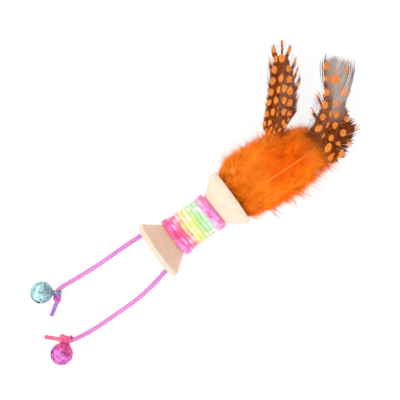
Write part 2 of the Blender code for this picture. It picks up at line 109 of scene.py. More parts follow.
def soft_box(name, place, width, depth, watts):
    """A rectangular lamp that faces the spool."""
    light = bpy.data.lights.new(name, "AREA")
    light.shape = "RECTANGLE"
    light.size = width
    light.size_y = depth
    light.energy = watts
    lamp = bpy.data.objects.new(name, light)
    lamp.location = place
    lamp.rotation_euler = (spool_centre - place).to_track_quat("-Z", "Y").to_euler()
    scene.collection.objects.link(lamp)


def alone(piece=None):
    """Leaves nothing selected, or only one piece, for the operator that comes next."""
    bpy.ops.object.select_all(action="DESELECT")
    if piece:
        piece.select_set(True)
        bpy.context.view_layer.objects.active = piece


def primitive(add_shape, **settings):
    """Adds one of Blender's own simple shapes and gives the new object."""
    alone()
    add_shape(**settings)
    return bpy.context.object


camera = bpy.data.cameras.new("view from above")
camera.lens = 56.9
camera.sensor_width = 36.0
camera.clip_start = 10 * MM
viewer = bpy.data.objects.new("view from above", camera)
viewer.location = (3.3 * MM, -5.65 * MM, 288.25 * MM)
viewer.rotation_euler = (0, 0, math.radians(-35.8))
scene.collection.objects.link(viewer)
scene.camera = viewer

box_away = 450 * MM
box_angle = math.radians(54)  # from straight up
for side in (1, -1):
    sideways = Vector((0, side * math.sin(box_angle), math.cos(box_angle)))
    soft_box(f"side soft box {side}", spool_centre + sideways * box_away, width=0.5, depth=0.26, watts=1.15)
soft_box("bell end soft box", spool_centre + Vector((-0.38, 0, 0.32)), width=0.4, depth=0.3, watts=1.32)

sky = bpy.data.worlds.new("studio")
scene.world = sky
add = bare_tree(sky)
height = add("SeparateXYZ", {"Vector": add("TexCoord").outputs["Generated"]}).outputs["Z"]
walls = add("ValToRGB", {"Fac": height}, stops=[(0.3, "FFFFFF"), (0.85, "C8CBCE")])
glow = add("Background", {"Color": walls, "Strength": 0.6})
plain = add("Background", {"Color": (1, 1, 1, 1), "Strength": 1.0})
seen = add("MixShader", {0: add("LightPath").outputs["Is Camera Ray"], 1: glow, 2: plain})
add("OutputWorld", {"Surface": seen})

table = primitive(bpy.ops.mesh.primitive_plane_add, size=6.0, location=(0, 0, -0.05 * MM))
table.name = "table"
paper = bpy.data.materials.new("white card")
add = bare_tree(paper)
rays = add("LightPath").outputs
shown = add("Math", {0: rays["Is Camera Ray"], 1: rays["Is Glossy Ray"]}, operation="ADD")
shown = add("Math", {0: shown, 1: rays["Is Transmission Ray"]}, operation="ADD")
share = add("Math", {0: shown, 1: 0.82}, operation="MULTIPLY", use_clamp=True)
matt = add("BsdfDiffuse", {"Color": linear("F4F4F4")})
white = add("Emission", {"Color": (1, 1, 1, 1), "Strength": 1.05})
add("OutputMaterial", {"Surface": add("MixShader", {0: share, 1: matt, 2: white})})
table.data.materials.append(paper)

# Spool: one piece of pale hardwood, turned on a lathe to two rims and two cones with a barrel between
# them, bored through, and sanded but not varnished. Two holes in one end face take the bell cords.
half_length = (spool_high.x - spool_low.x) / 2
rim_radius = (spool_high.z - spool_low.z) / 2
rim_width = 2.35 * MM
rim_edge = 0.55 * MM
cone_edge = 0.3 * MM
cone_angle = math.radians(38.5)
barrel_radius = 7.0 * MM
bore_radius = 3.5 * MM
bore_edge = 0.35 * MM
cord_radius = 1.0 * MM
cord_offset = rim_radius - 3.75 * MM
hole_depth = 4.0 * MM
hole_clearance = 0.15 * MM


def arc(along, out, radius, start, end, step):
    """Stations (along, radius) round an arc, with angles in degrees from the along direction."""
    count = max(1, round(abs(end - start) / step))
    angles = np.radians(np.linspace(start, end, count + 1))
    return [(along + radius * math.cos(a), out + radius * math.sin(a)) for a in angles]


def turn(name, stations, segments):
    """A shape turned about the X axis, drawn out ring by ring through (along, radius) stations."""
    along, radius = stations[0]
    turned = primitive(bpy.ops.mesh.primitive_circle_add, vertices=segments, radius=radius,
                       rotation=(0, math.pi / 2, 0))
    turned.name = name
    turned.location.x = along
    bpy.ops.object.transform_apply()
    bpy.ops.object.mode_set(mode="EDIT")
    bpy.ops.mesh.select_all(action="SELECT")
    for next_along, next_radius in stations[1:]:
        bpy.ops.mesh.extrude_edges_move(TRANSFORM_OT_translate={"value": (next_along - along, 0, 0)})
        growth = next_radius / radius
        bpy.ops.transform.resize(value=(1, growth, growth), center_override=(0, 0, 0))
        along, radius = next_along, next_radius
    bpy.ops.mesh.select_all(action="SELECT")
    bpy.ops.mesh.remove_doubles(threshold=0.004 * MM)
    bpy.ops.mesh.normals_make_consistent(inside=False)
    bpy.ops.object.mode_set(mode="OBJECT")
    return turned


def apply(piece, modifier):
    alone(piece)
    bpy.ops.object.modifier_apply(modifier=modifier.name)


def combine(target, tool, operation):
    """Cuts the tool out of the target, or joins it on, and removes the tool."""
    modifier = target.modifiers.new(operation.lower(), "BOOLEAN")
    modifier.operation = operation
    modifier.object = tool
    apply(target, modifier)
    bpy.data.objects.remove(tool)


def coat(piece, material):
    """Gives a piece one material in place of those that it has."""
    piece.data.materials.clear()
    piece.data.materials.append(material)


def put(piece, material, body, slot, *nodes, place=Matrix(), sharp=None):
    """Sets a finished piece in its place, with its material, on its body, and hides the nodes it stands in
    for.
    """
    alone(piece)
    piece.data.transform(place)
    coat(piece, material)
    if sharp:
        bpy.ops.object.shade_smooth_by_angle(angle=math.radians(sharp))
    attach(piece, body)
    if nodes:
        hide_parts(*nodes)


def finish(name, sockets):
    """A new material, its shader with the values that are the same all over, and what adds its nodes."""
    material = bpy.data.materials.new(name)
    material.use_nodes = True
    shader = material.node_tree.nodes["Principled BSDF"]
    plug(shader, sockets)
    return material, shader, partial(node, material.node_tree)


cone_foot = rim_width + (rim_radius - barrel_radius) / math.tan(cone_angle)
end_stations = [(bore_edge, bore_radius), (0, bore_radius + bore_edge)]
end_stations += arc(rim_edge, rim_radius - rim_edge, rim_edge, 180, 90, 15)
end_stations += arc(rim_width - cone_edge, rim_radius - cone_edge, cone_edge, 90, 40, 12)
end_stations += [(cone_foot, barrel_radius)]
bell_end = [(along - half_length, radius) for along, radius in end_stations]
feather_end = [(-along, radius) for along, radius in reversed(bell_end)]
spool = turn("turned_spool", bell_end + feather_end + bell_end[:1], 128)
for side in (1, -1):
    drill = primitive(bpy.ops.mesh.primitive_cylinder_add, vertices=48, radius=cord_radius + hole_clearance,
                      depth=2 * hole_depth, rotation=(0, math.pi / 2, 0),
                      location=(-half_length, side * cord_offset, 0))
    combine(spool, drill, "DIFFERENCE")

# Bare sanded hardwood: cream, with faint growth bands, fine pores drawn out along the spool and the
# lathe's last tool marks round it. It is matt. The cone at the bell end is painted warmer and darker, as
# painted shade and painted pink bounce light from the winding. A noise's scale is so many fibres or pores
# a millimetre, and the waves are bands 3.3 mm and marks 0.4 mm apart.
wood, shader, add = finish("sanded hardwood", {"IOR": 1.5, "Specular IOR Level": 0.35})
here = add("TexCoord").outputs["Object"]
grain_at = add("Mapping", {"Vector": here, "Scale": (0.03 / MM, 1.3 / MM, 1.3 / MM)})
grain = add("TexNoise", {"Vector": grain_at, "Scale": 1.0, "Detail": 4.0})
bands_at = add("Mapping", {"Vector": here, "Location": (0, 30 * MM, 22 * MM)})
bands = add("TexWave", {"Vector": bands_at, "Scale": 0.095 / MM, "Distortion": 1.6, "Detail": 2.0,
                        "Detail Scale": 0.6}, wave_type="RINGS", rings_direction="X")
pores_at = add("Mapping", {"Vector": here, "Scale": (0.42 / MM, 5.2 / MM, 5.2 / MM)})
pores = add("TexNoise", {"Vector": pores_at, "Scale": 1.0, "Detail": 1.0})
cream = add("ValToRGB", {"Fac": grain}, stops=[(0.3, "E6CFB8"), (0.52, "E9D4C1"), (0.75, "EBDAC9")])
banded = add("Mix", {0: bands.outputs["Fac"], 6: cream, 7: linear("E6CFB6")}, data_type="RGBA")
pore_mask = add("ValToRGB", {"Fac": pores}, stops=[(0.62, "000000"), (0.72, "545454")])
pored = add("Mix", {0: pore_mask, 6: banded, 7: linear("D0B087")}, data_type="RGBA")
along = add("SeparateXYZ", {"Vector": here}).outputs["X"]
# Painted shade and painted bounce light: the bell-end cone, from just inside its rim, is mixed up to half way
# toward a darker, warmer tan, fading out past the barrel's middle.
from_end = add("MapRange", {"Value": along, "From Min": spool_low.x + rim_width,
                            "From Max": spool_low.x + rim_width + 0.4 * MM})
to_barrel = add("MapRange", {"Value": along, "From Min": spool_centre.x + 4 * MM,
                             "From Max": spool_low.x + 9 * MM, "To Max": 0.5})
shaded_cone = add("Math", {0: from_end, 1: to_barrel}, operation="MULTIPLY")
with_painted_shade = add("Mix", {0: shaded_cone, 6: pored, 7: linear("E8B394")}, data_type="RGBA")
dull = add("MapRange", {"Value": grain, "To Min": 0.5, "To Max": 0.68})
marks = add("TexWave", {"Vector": here, "Scale": 0.75 / MM, "Distortion": 2.0}, wave_type="BANDS",
            bands_direction="X")
relief = add("Math", {0: marks.outputs["Fac"], 1: 0.5, 2: grain}, operation="MULTIPLY_ADD")
bump = add("Bump", {"Height": relief, "Strength": 0.25, "Distance": 0.05 * MM})
plug(shader, {"Base Color": with_painted_shade, "Roughness": dull, "Normal": bump})
put(spool, wood, "spool", "turned_wood", "spool", place=Matrix.Translation(spool_centre), sharp=28)


# Glue plug: hot-melt glue filled into the bore round the quills. It sets milky and half clear, with a
# smooth skin, so its own node keeps its shape.
def mottled(name, per_mm, stops, sockets, rough=None):
    """A material whose colour, and gloss if it has a range, wanders in so many blots a millimetre."""
    material, shader, add = finish(name, sockets)
    blots = add("TexNoise", {"Vector": add("TexCoord").outputs["Object"], "Scale": per_mm / MM})
    plug(shader, {"Base Color": add("ValToRGB", {"Fac": blots}, stops=stops)})
    if rough:
        dull = add("MapRange", {"Value": blots, "To Min": rough[0], "To Max": rough[1]})
        plug(shader, {"Roughness": dull})
    return material


glue = mottled("hot-melt glue", per_mm=0.6, stops=[(0.35, "DDCF9F"), (0.65, "F1EAD0")], sockets={
    "IOR": 1.48, "Roughness": 0.28, "Subsurface Weight": 0.3, "Subsurface Scale": 0.5 * MM})
coat(frame["nodes"]["glue_plug"], glue)

# Wound cord: satin rattail, dyed in colours that change along its length, wound in one close layer
# round the barrel. Each turn is squeezed by the next, and the first two stand proud over the trapped end.
wound_from = 10.35 * MM
wound_pitch = 1.87 * MM
wound_turns = 11
wound_halves = (1.04 * MM, 0.72 * MM)  # half width along the spool, and half thickness
trapped_lift = 0.35 * MM
trapped_turns = 2.2
tied_lift = 0.25 * MM  # of the last two turns, over the tucked end
tied_from = 8.9
waver_along = 0.045 * MM
waver_out = 0.03 * MM
rainbow = [(0.0, "F2467B"), (1.5, "F95085"), (2.3, "F95C75"), (2.9, "F97156"), (3.4, "F98B4E"),
           (3.9, "F9CF79"), (4.3, "F1EF83"), (5.3, "E7F479"), (6.3, "C2EF6D"), (7.3, "AAE77F"),
           (8.2, "C3EFB4"), (8.9, "EDF1EB"), (9.3, "F9B6D3"), (9.8, "F975A4"), (10.5, "F9679E"),
           (11.0, "F9629C")]
# Painted sheen: paler colours along the winding, mixed into the dye by patches, stand for the light that the
# satin catches.
painted_sheen = [(0.0, "EE90E2"), (2.2, "F39FDC"), (2.8, "F9D3D3"), (4.0, "F9F2CF"), (6.5, "F2F8DF"), (8.5, "F9F9F9"),
         (9.4, "F6DFF4"), (10.2, "EBA4F6"), (11.0, "ED9CEF")]


def unit(vectors):
    return vectors / np.linalg.norm(vectors, axis=-1, keepdims=True)


def distances(line):
    """How far along a line each of its points lies."""
    return np.concatenate([[0], np.cumsum(np.linalg.norm(np.diff(line, axis=0), axis=1))])


def tubes(name, corners):
    """One mesh of closed tubes, given the corners of their rings by tube, ring and corner."""
    count, rings, sides = corners.shape[:3]
    first = sides * np.arange(count * rings).reshape(count, rings)
    here, onward = first[:, :-1, None], first[:, 1:, None]
    k = np.arange(sides)
    after = (k + 1) % sides
    walls = np.stack([here + k, onward + k, onward + after, here + after], axis=-1).reshape(-1, 4)
    caps = np.concatenate([first[:, :1] + k, first[:, -1:] + k[::-1]])
    corner_list = np.concatenate([walls.ravel(), caps.ravel()])
    starts = np.concatenate([np.arange(len(walls)) * 4, walls.size + np.arange(len(caps)) * sides])
    mesh = bpy.data.meshes.new(name)
    mesh.vertices.add(corners.size // 3)
    mesh.vertices.foreach_set("co", corners.ravel())
    mesh.loops.add(len(corner_list))
    mesh.loops.foreach_set("vertex_index", corner_list.astype(np.int32))
    mesh.polygons.add(len(starts))
    mesh.polygons.foreach_set("loop_start", starts.astype(np.int32))
    mesh.update(calc_edges=True)
    made = bpy.data.objects.new(name, mesh)
    scene.collection.objects.link(made)
    return made


def sweep(name, line, halves, tops=None, sides=20, square=2.0):
    """A tube with a ring at each point of a line, and a map named length: millimetres along, share round.

    The ring's height turns with tops, or else rolls as little as it can. Square above 2 fills its corners.
    """
    line = np.asarray(line, float)
    halves = np.broadcast_to(np.asarray(halves, float), (len(line), 2))
    ahead = unit(np.gradient(line, axis=0))
    if tops is None:
        top = np.array(UP) - ahead[0] * ahead[0][2]
        tops = np.empty_like(line)
        for i, forward in enumerate(ahead):
            top = unit(top - forward * (top @ forward))
            tops[i] = top
    across = unit(np.cross(tops, ahead))
    tops = np.cross(ahead, across)
    angles = 2 * math.pi * np.arange(sides) / sides
    round_x = np.sign(np.cos(angles)) * np.abs(np.cos(angles)) ** (2 / square)
    round_y = np.sign(np.sin(angles)) * np.abs(np.sin(angles)) ** (2 / square)
    rings = (line[:, None] + across[:, None] * (halves[:, :1] * round_x)[..., None]
             + tops[:, None] * (halves[:, 1:] * round_y)[..., None])
    made = tubes(name, rings[None])
    far = distances(line) / MM
    low = np.arange(sides) / sides
    high = (np.arange(sides) + 1) / sides
    places = np.empty((len(line) - 1, sides, 4, 2))
    places[..., 0] = np.stack([far[:-1], far[1:], far[1:], far[:-1]], axis=-1)[:, None]
    places[..., 1] = np.stack([low, low, high, high], axis=-1)
    on_caps = np.repeat([(far[0], 0.5), (far[-1], 0.5)], sides, axis=0)
    places = np.concatenate([places.reshape(-1, 2), on_caps])
    made.data.uv_layers.new(name="length").data.foreach_set("uv", places.ravel())
    made.data.shade_smooth()
    made.data.set_sharp_from_angle(angle=math.radians(50))
    return made


def satin(name, total, stops, tint, lights, sheen_most, drift, patch, rough):
    """Dyed satin rattail: fine threads laid aslant over a soft core, smooth enough for long sheeny lights.

    The dye runs on or stays behind by the drift, from patch to patch. The lights are paler colours mixed in
    by patches, by as much as the share called sheen_most: painted sheen for the light that the threads catch.
    The threads are painted a little darker in their grooves, as painted shade. All lengths are millimetres,
    and the threads are drawn 0.2 mm apart, which is too coarse, or they wouldn't show.
    """
    material, shader, add = finish(name, {
        "IOR": 1.75, "Specular IOR Level": 1.0, "Specular Tint": linear(tint), "Sheen Weight": 0.15,
        "Sheen Roughness": 0.35, "Sheen Tint": linear(tint)})
    along = add("UVMap", uv_map="length")
    patchy_at = add("Mapping", {"Vector": along, "Scale": (1 / patch, 2.0, 1.0)})
    patchy = add("TexNoise", {"Vector": patchy_at, "Scale": 1.0, "Detail": 2.0})
    astray = add("Math", {0: patchy, 1: 4 * drift, 2: -2 * drift}, operation="MULTIPLY_ADD")
    here = add("SeparateXYZ", {"Vector": along}).outputs["X"]
    moved = add("Math", {0: here, 1: astray}, operation="ADD")
    share = add("Math", {0: moved, 1: 1 / total}, operation="MULTIPLY")
    deep = add("ValToRGB", {"Fac": share}, stops=stops)
    # Painted sheen: this ramp's paler colours are mixed into the dye by patches.
    light = add("ValToRGB", {"Fac": share}, stops=lights)
    sheen_patch_at = add("Mapping", {"Vector": along, "Location": (40, 9, 0), "Scale": (1.7 / patch, 1.4, 1.0)})
    sheen_patch = add("TexNoise", {"Vector": sheen_patch_at, "Scale": 1.0, "Detail": 1.0})
    sheen_share = add("MapRange", {"Value": sheen_patch, "From Min": 0.5, "From Max": 0.66, "To Max": sheen_most})
    dye_and_sheen = add("Mix", {0: sheen_share, 6: deep, 7: light}, data_type="RGBA")
    threads_at = add("Mapping", {"Vector": along, "Scale": (1.0, 2.4, 1.0)})
    threads = add("TexWave", {"Vector": threads_at, "Scale": 3.0, "Distortion": 0.6}, wave_type="BANDS",
                  bands_direction="DIAGONAL").outputs["Fac"]
    # Painted shade: each thread is a little darker in the groove beside it.
    lit = add("Mix", {0: threads, 6: linear("F6F3F7"), 7: linear("FFFFFF")}, data_type="RGBA")
    woven = add("Mix", {0: 1.0, 6: dye_and_sheen, 7: lit}, data_type="RGBA", blend_type="MULTIPLY")
    gloss = add("MapRange", {"Value": patchy, "To Min": rough, "To Max": rough + 0.16})
    bump = add("Bump", {"Height": threads, "Strength": 0.15, "Distance": 0.01 * MM})
    plug(shader, {"Base Color": woven, "Roughness": gloss, "Normal": bump})
    return material


turns = np.linspace(0, wound_turns, wound_turns * 72 + 1)
waver = np.sin(turns * 5.1 + 0.6) + np.sin(turns * 11.7 + 2.0) + np.sin(turns * 17.3)
wound_along = wound_from - half_length + wound_pitch * turns + waver_along * waver
lifted = trapped_lift * np.clip((trapped_turns - turns) * 1.6, 0, 1)
lifted = lifted + tied_lift * np.clip((turns - tied_from) * 2, 0, 1)
tucked = np.clip(np.minimum(turns, wound_turns - turns) / 0.08, 0.45, 1)
plump = tucked * np.interp(turns, [0, 0.9, 1.4, 9, 9.4], [1.35, 1.3, 1.0, 1.0, 1.06])
half_wide, half_thick = plump * wound_halves[0], plump * wound_halves[1]
on_barrel = barrel_radius + half_thick + lifted + waver_out * np.roll(waver, 40)
up_cone = half_length - np.abs(wound_along) - rim_width
reach = np.hypot(half_wide * math.sin(cone_angle), half_thick * math.cos(cone_angle))
on_cone = rim_radius - up_cone * math.tan(cone_angle) + reach / math.cos(cone_angle)
wound_radius = np.maximum(on_barrel, on_cone)
wound_angle = 2 * math.pi * turns - math.pi / 2
outward = np.stack([np.zeros_like(turns), np.cos(wound_angle), np.sin(wound_angle)], axis=1)
wound_line = outward * wound_radius[:, None] + np.array([1, 0, 0]) * wound_along[:, None]
winding = sweep("wound_cord", wound_line, np.stack([half_wide, half_thick], axis=1), outward, sides=36,
                square=2.7)
dyes, lights = ([(at / wound_turns, colour) for at, colour in stops] for stops in (rainbow, painted_sheen))
rainbow_satin = satin("variegated satin", distances(wound_line)[-1] / MM, dyes, "DDBEFF", lights, sheen_most=0.9,
                      drift=36.0, patch=6.5, rough=0.3)
put(winding, rainbow_satin, "spool", "variegated_satin", "cord_winding",
    place=Matrix.Translation(spool_centre))

# Bell cords: two lengths of the same soft satin rattail. Each is glued into its hole in the end face,
# droops to the table, and runs through its bell's loop to a stopper knot and a short cut tail.
joints = {joint["name"]: joint for joint in frame["joints"]}
loop_half = 0.65 * MM
end_gap = 0.3 * MM  # from the cord's end to the bottom of its hole
knot_beyond = 2.25 * MM
knot_size = 0.47 * MM
knot_depth = 0.75 * MM
cord_tint = "F3DCFF"
# Painted sheen on the cords: paler colours that the satin mixes in by patches.
cord_lights = [(0.0, "D07BCE"), (1.0, "D97CC1")]
strand_plans = {
    "blue": {
        "through": 1,
        "route": [(-6.6, 0.3, 11.3), (-13.0, 0.4, 7.2), (-18.7, 0.5, 4.0), (-25.0, 0.7, 2.0),
                  (-31.6, 1.2, 1.2), (-37.8, 1.7, 1.4), (-42.0, 2.1, 2.4)],
        "tail": [(-3.0, -2.3, -1.7), (-5.2, -3.7, -2.0), (-7.6, -5.2, -2.0)],
        "knot_roll": 105,
        "knot_lift": 0.8,
        "cord_dye": [(0.0, "C859B5"), (0.2, "CE66BD"), (0.55, "D473C3"), (0.8, "D069B7"), (1.0, "D45A9B")],
        "knot_dye": [(0.0, "8A38B0"), (0.22, "A836A4"), (0.42, "CC3894"), (0.62, "B43A9E"), (0.8, "9A48BC"),
                     (1.0, "8E48C4")],
        "knot_slot": "pink_satin",
    },
    "pink": {
        "through": -1,
        "route": [(-5.9, -1.3, 11.5), (-13.7, -2.6, 7.5), (-21.2, -3.2, 4.0), (-28.3, -3.2, 2.0),
                  (-35.3, -3.2, 1.2), (-41.9, -2.9, 1.3), (-47.4, -2.2, 1.9), (-50.6, -1.6, 2.5)],
        "tail": [(-3.1, 0.9, -1.5), (-5.0, 2.5, -2.0), (-8.0, 5.5, -2.0)],
        "knot_roll": 150,
        "knot_lift": 2.9,
        "cord_dye": [(0.0, "CA5CB9"), (0.25, "D26BC1"), (0.6, "D675C3"), (0.85, "D066B2"), (1.0, "DB5A91")],
        "knot_dye": [(0.0, "E84C88"), (0.5, "EE5082"), (1.0, "E4586E")],
        "knot_slot": "coral_satin",
    },
}


def between(places, reached, rows):
    """Rows at some places, worked out between the rows that are reached there."""
    return np.stack([np.interp(places, reached, column) for column in rows.T], axis=-1)


def smooth(points, spacing):
    """Evenly spaced points on a smooth curve through the given ones."""
    points = [np.array(point, float) for point in points]
    knots = [2 * points[0] - points[1], *points, 2 * points[-1] - points[-2]]
    fine = []
    for a, b, c, d in zip(knots, knots[1:], knots[2:], knots[3:]):
        for t in np.arange(24) / 24:
            bend = (2 * a - 5 * b + 4 * c - d) * t**2 + (3 * b - a - 3 * c + d) * t**3
            fine.append(b + 0.5 * ((c - a) * t + bend))
    fine = np.array(fine + [points[-1]])
    reached = distances(fine)
    wanted = np.linspace(0, reached[-1], max(2, round(reached[-1] / spacing)) + 1)
    return between(wanted, reached, fine)


def bell_ways(word):
    """The middle of a bell's loop, the way from there to its ball, and the level way through the loop."""
    eye = Vector(joints[f"{word}_bell_swing"]["pos_m"])
    ball_way = Vector(joints[f"{word}_pellet_roll"]["axis"])
    return eye, ball_way, UP.cross(ball_way).normalized()


def knot_line(start, through, roll, lift):
    """An overhand knot drawn tight: in along the cord, round three lobes and out past itself.

    The lobes rise to the side that the roll says, and the lift sets how far, in the knot's own units.
    """
    across = through.cross(UP).normalized()
    lobe_up = across * math.cos(roll) + UP * math.sin(roll)
    over = through.cross(lobe_up)
    bends = [(-2.4, -2.9, 0.9)]
    for t in np.linspace(math.pi + 0.55, 3 * math.pi - 0.55, 26):
        bends.append((math.sin(t) + 2 * math.sin(2 * t), math.cos(t) - 2 * math.cos(2 * t), -math.sin(3 * t)))
    bends += [(2.4, -2.9, -0.9), (3.4, -2.9, -0.6)]
    middle = start + through * 3.4 * knot_size + lobe_up * lift * knot_size
    return [start] + [middle + (through * x + lobe_up * y) * knot_size + over * z * knot_depth
                      for x, y, z in bends]


for word, plan in strand_plans.items():
    pivot = Vector(joints[f"{word}_cord_swing"]["pos_m"])
    eye, ball_way, through = bell_ways(word)
    through = through * plan["through"]
    exit_face = Vector((spool_low.x, pivot.y, spool_centre.z))
    in_hole = exit_face + Vector((hole_depth - end_gap, 0, 0))
    route = [in_hole, exit_face, Vector((pivot.x, pivot.y, spool_centre.z))]
    route += [Vector((pivot.x, pivot.y, 0)) + Vector(point) * MM for point in plan["route"]]
    route += [eye - through * loop_half, eye + through * loop_half]
    line = smooth(route, spacing=0.6 * MM)
    steps = np.arange(len(line))
    swell = 1 + 0.025 * np.sin(steps * 0.37) + 0.02 * np.sin(steps * 0.91)
    cord = sweep(f"satin_cord_{word}", line, np.outer(swell, (cord_radius, cord_radius)), sides=20)
    length = distances(line)[-1]
    cord.data.materials.append(satin(f"orchid satin {word}", length / MM, plan["cord_dye"], cord_tint,
                                     cord_lights, sheen_most=0.7, drift=7.0, patch=9.0, rough=0.5))
    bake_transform(cord)
    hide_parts(f"bell_cord_{word}", f"cord_stub_{word}")

    tail_from = eye + through * knot_beyond
    tied = knot_line(eye + through * loop_half, through, math.radians(plan["knot_roll"]), plan["knot_lift"])
    tied += [tail_from + Vector(point) * MM for point in plan["tail"]]
    line_on = smooth(tied, spacing=0.3 * MM)
    share = np.linspace(0, 1, len(line_on))
    thick = np.interp(share, [0, 0.06, 0.12, 0.62, 0.72, 1.0], [1.0, 1.0, 0.98, 0.98, 0.92, 0.9])
    thick = thick * cord_radius
    knot = sweep(f"stopper_knot_{word}", line_on, np.stack([thick, thick * 0.94], axis=1), sides=18)
    dye_and_sheen = satin(f"knotted satin {word}", distances(line_on)[-1] / MM, plan["knot_dye"], cord_tint,
                plan["knot_dye"], sheen_most=0.0, drift=3.0, patch=5.0, rough=0.4)
    put(knot, dye_and_sheen, f"{word}_cord", plan["knot_slot"], f"knot_{word}", f"cord_tail_{word}")

# Jingle bells: two shells pressed from thin steel, the upper one drawn out to a neck with a loop, the
# lower one cut with a slot between two holes and crimped over the upper. Both are lacquered over plating.
ball_radius = 4.9 * MM
sheet = 0.4 * MM
inner_radius = ball_radius - sheet
collar_radius = 4.95 * MM
collar_half = 0.8 * MM
loop_reach = ball_radius + 2.15 * MM
loop_ring = 1.6 * MM
loop_wire = 0.425 * MM
neck_radius = 1.1 * MM
neck_top = loop_reach - ball_radius - loop_wire
hole_radius = 1.0 * MM
hole_turn = math.radians(72)  # from the ball's pole to each end of the slot
slot_width = 0.7 * MM
rebate_depth = 0.3 * MM
rebate_width = 0.85 * MM
seat_depth = 0.2 * MM
seat_beyond = 0.12 * MM  # past the ball's middle
dent_size = 1.1 * MM
dent_depth = 0.06 * MM
unstruck_edge = 0.7 * MM  # of the lower shell, on each side of the seam
pole = 0.001 * MM
ball_middle = Vector((loop_reach, 0, 0))
bell_plans = {
    "blue": {"slot_roll": 28, "slot": "blue_lacquer", "upper": ("7293A0", "90B4C0", "AECCD6"),
             "lower": ("84AEB4", "A8CED3", "C6E7E7")},
    "pink": {"slot_roll": -20, "slot": "magenta_lacquer", "upper": ("C2407F", "E458A0", "EE78B4"),
             "lower": ("B2459D", "D766BB", "E997DD")},
}


def uneven(piece, name, kind, size, strength, **settings):
    """Moves a piece's surface in and out, by a texture with features of one size."""
    texture = bpy.data.textures.new(name, kind)
    texture.noise_scale = size
    modifier = piece.modifiers.new(name, "DISPLACE")
    modifier.texture = texture
    modifier.strength = strength
    for setting, value in settings.items():
        setattr(modifier, setting, value)
    apply(piece, modifier)


# The inside of the shells was never lacquered: bare steel, drawn near black, partly a dull oxide and partly
# painted shade inside the ball.
shaded_bare_steel = mottled("bare steel in painted shade", per_mm=0.9, stops=[(0.4, "1C1A1A"), (0.6, "322E2C")],
               sockets={"Metallic": 0.6, "Roughness": 0.7})

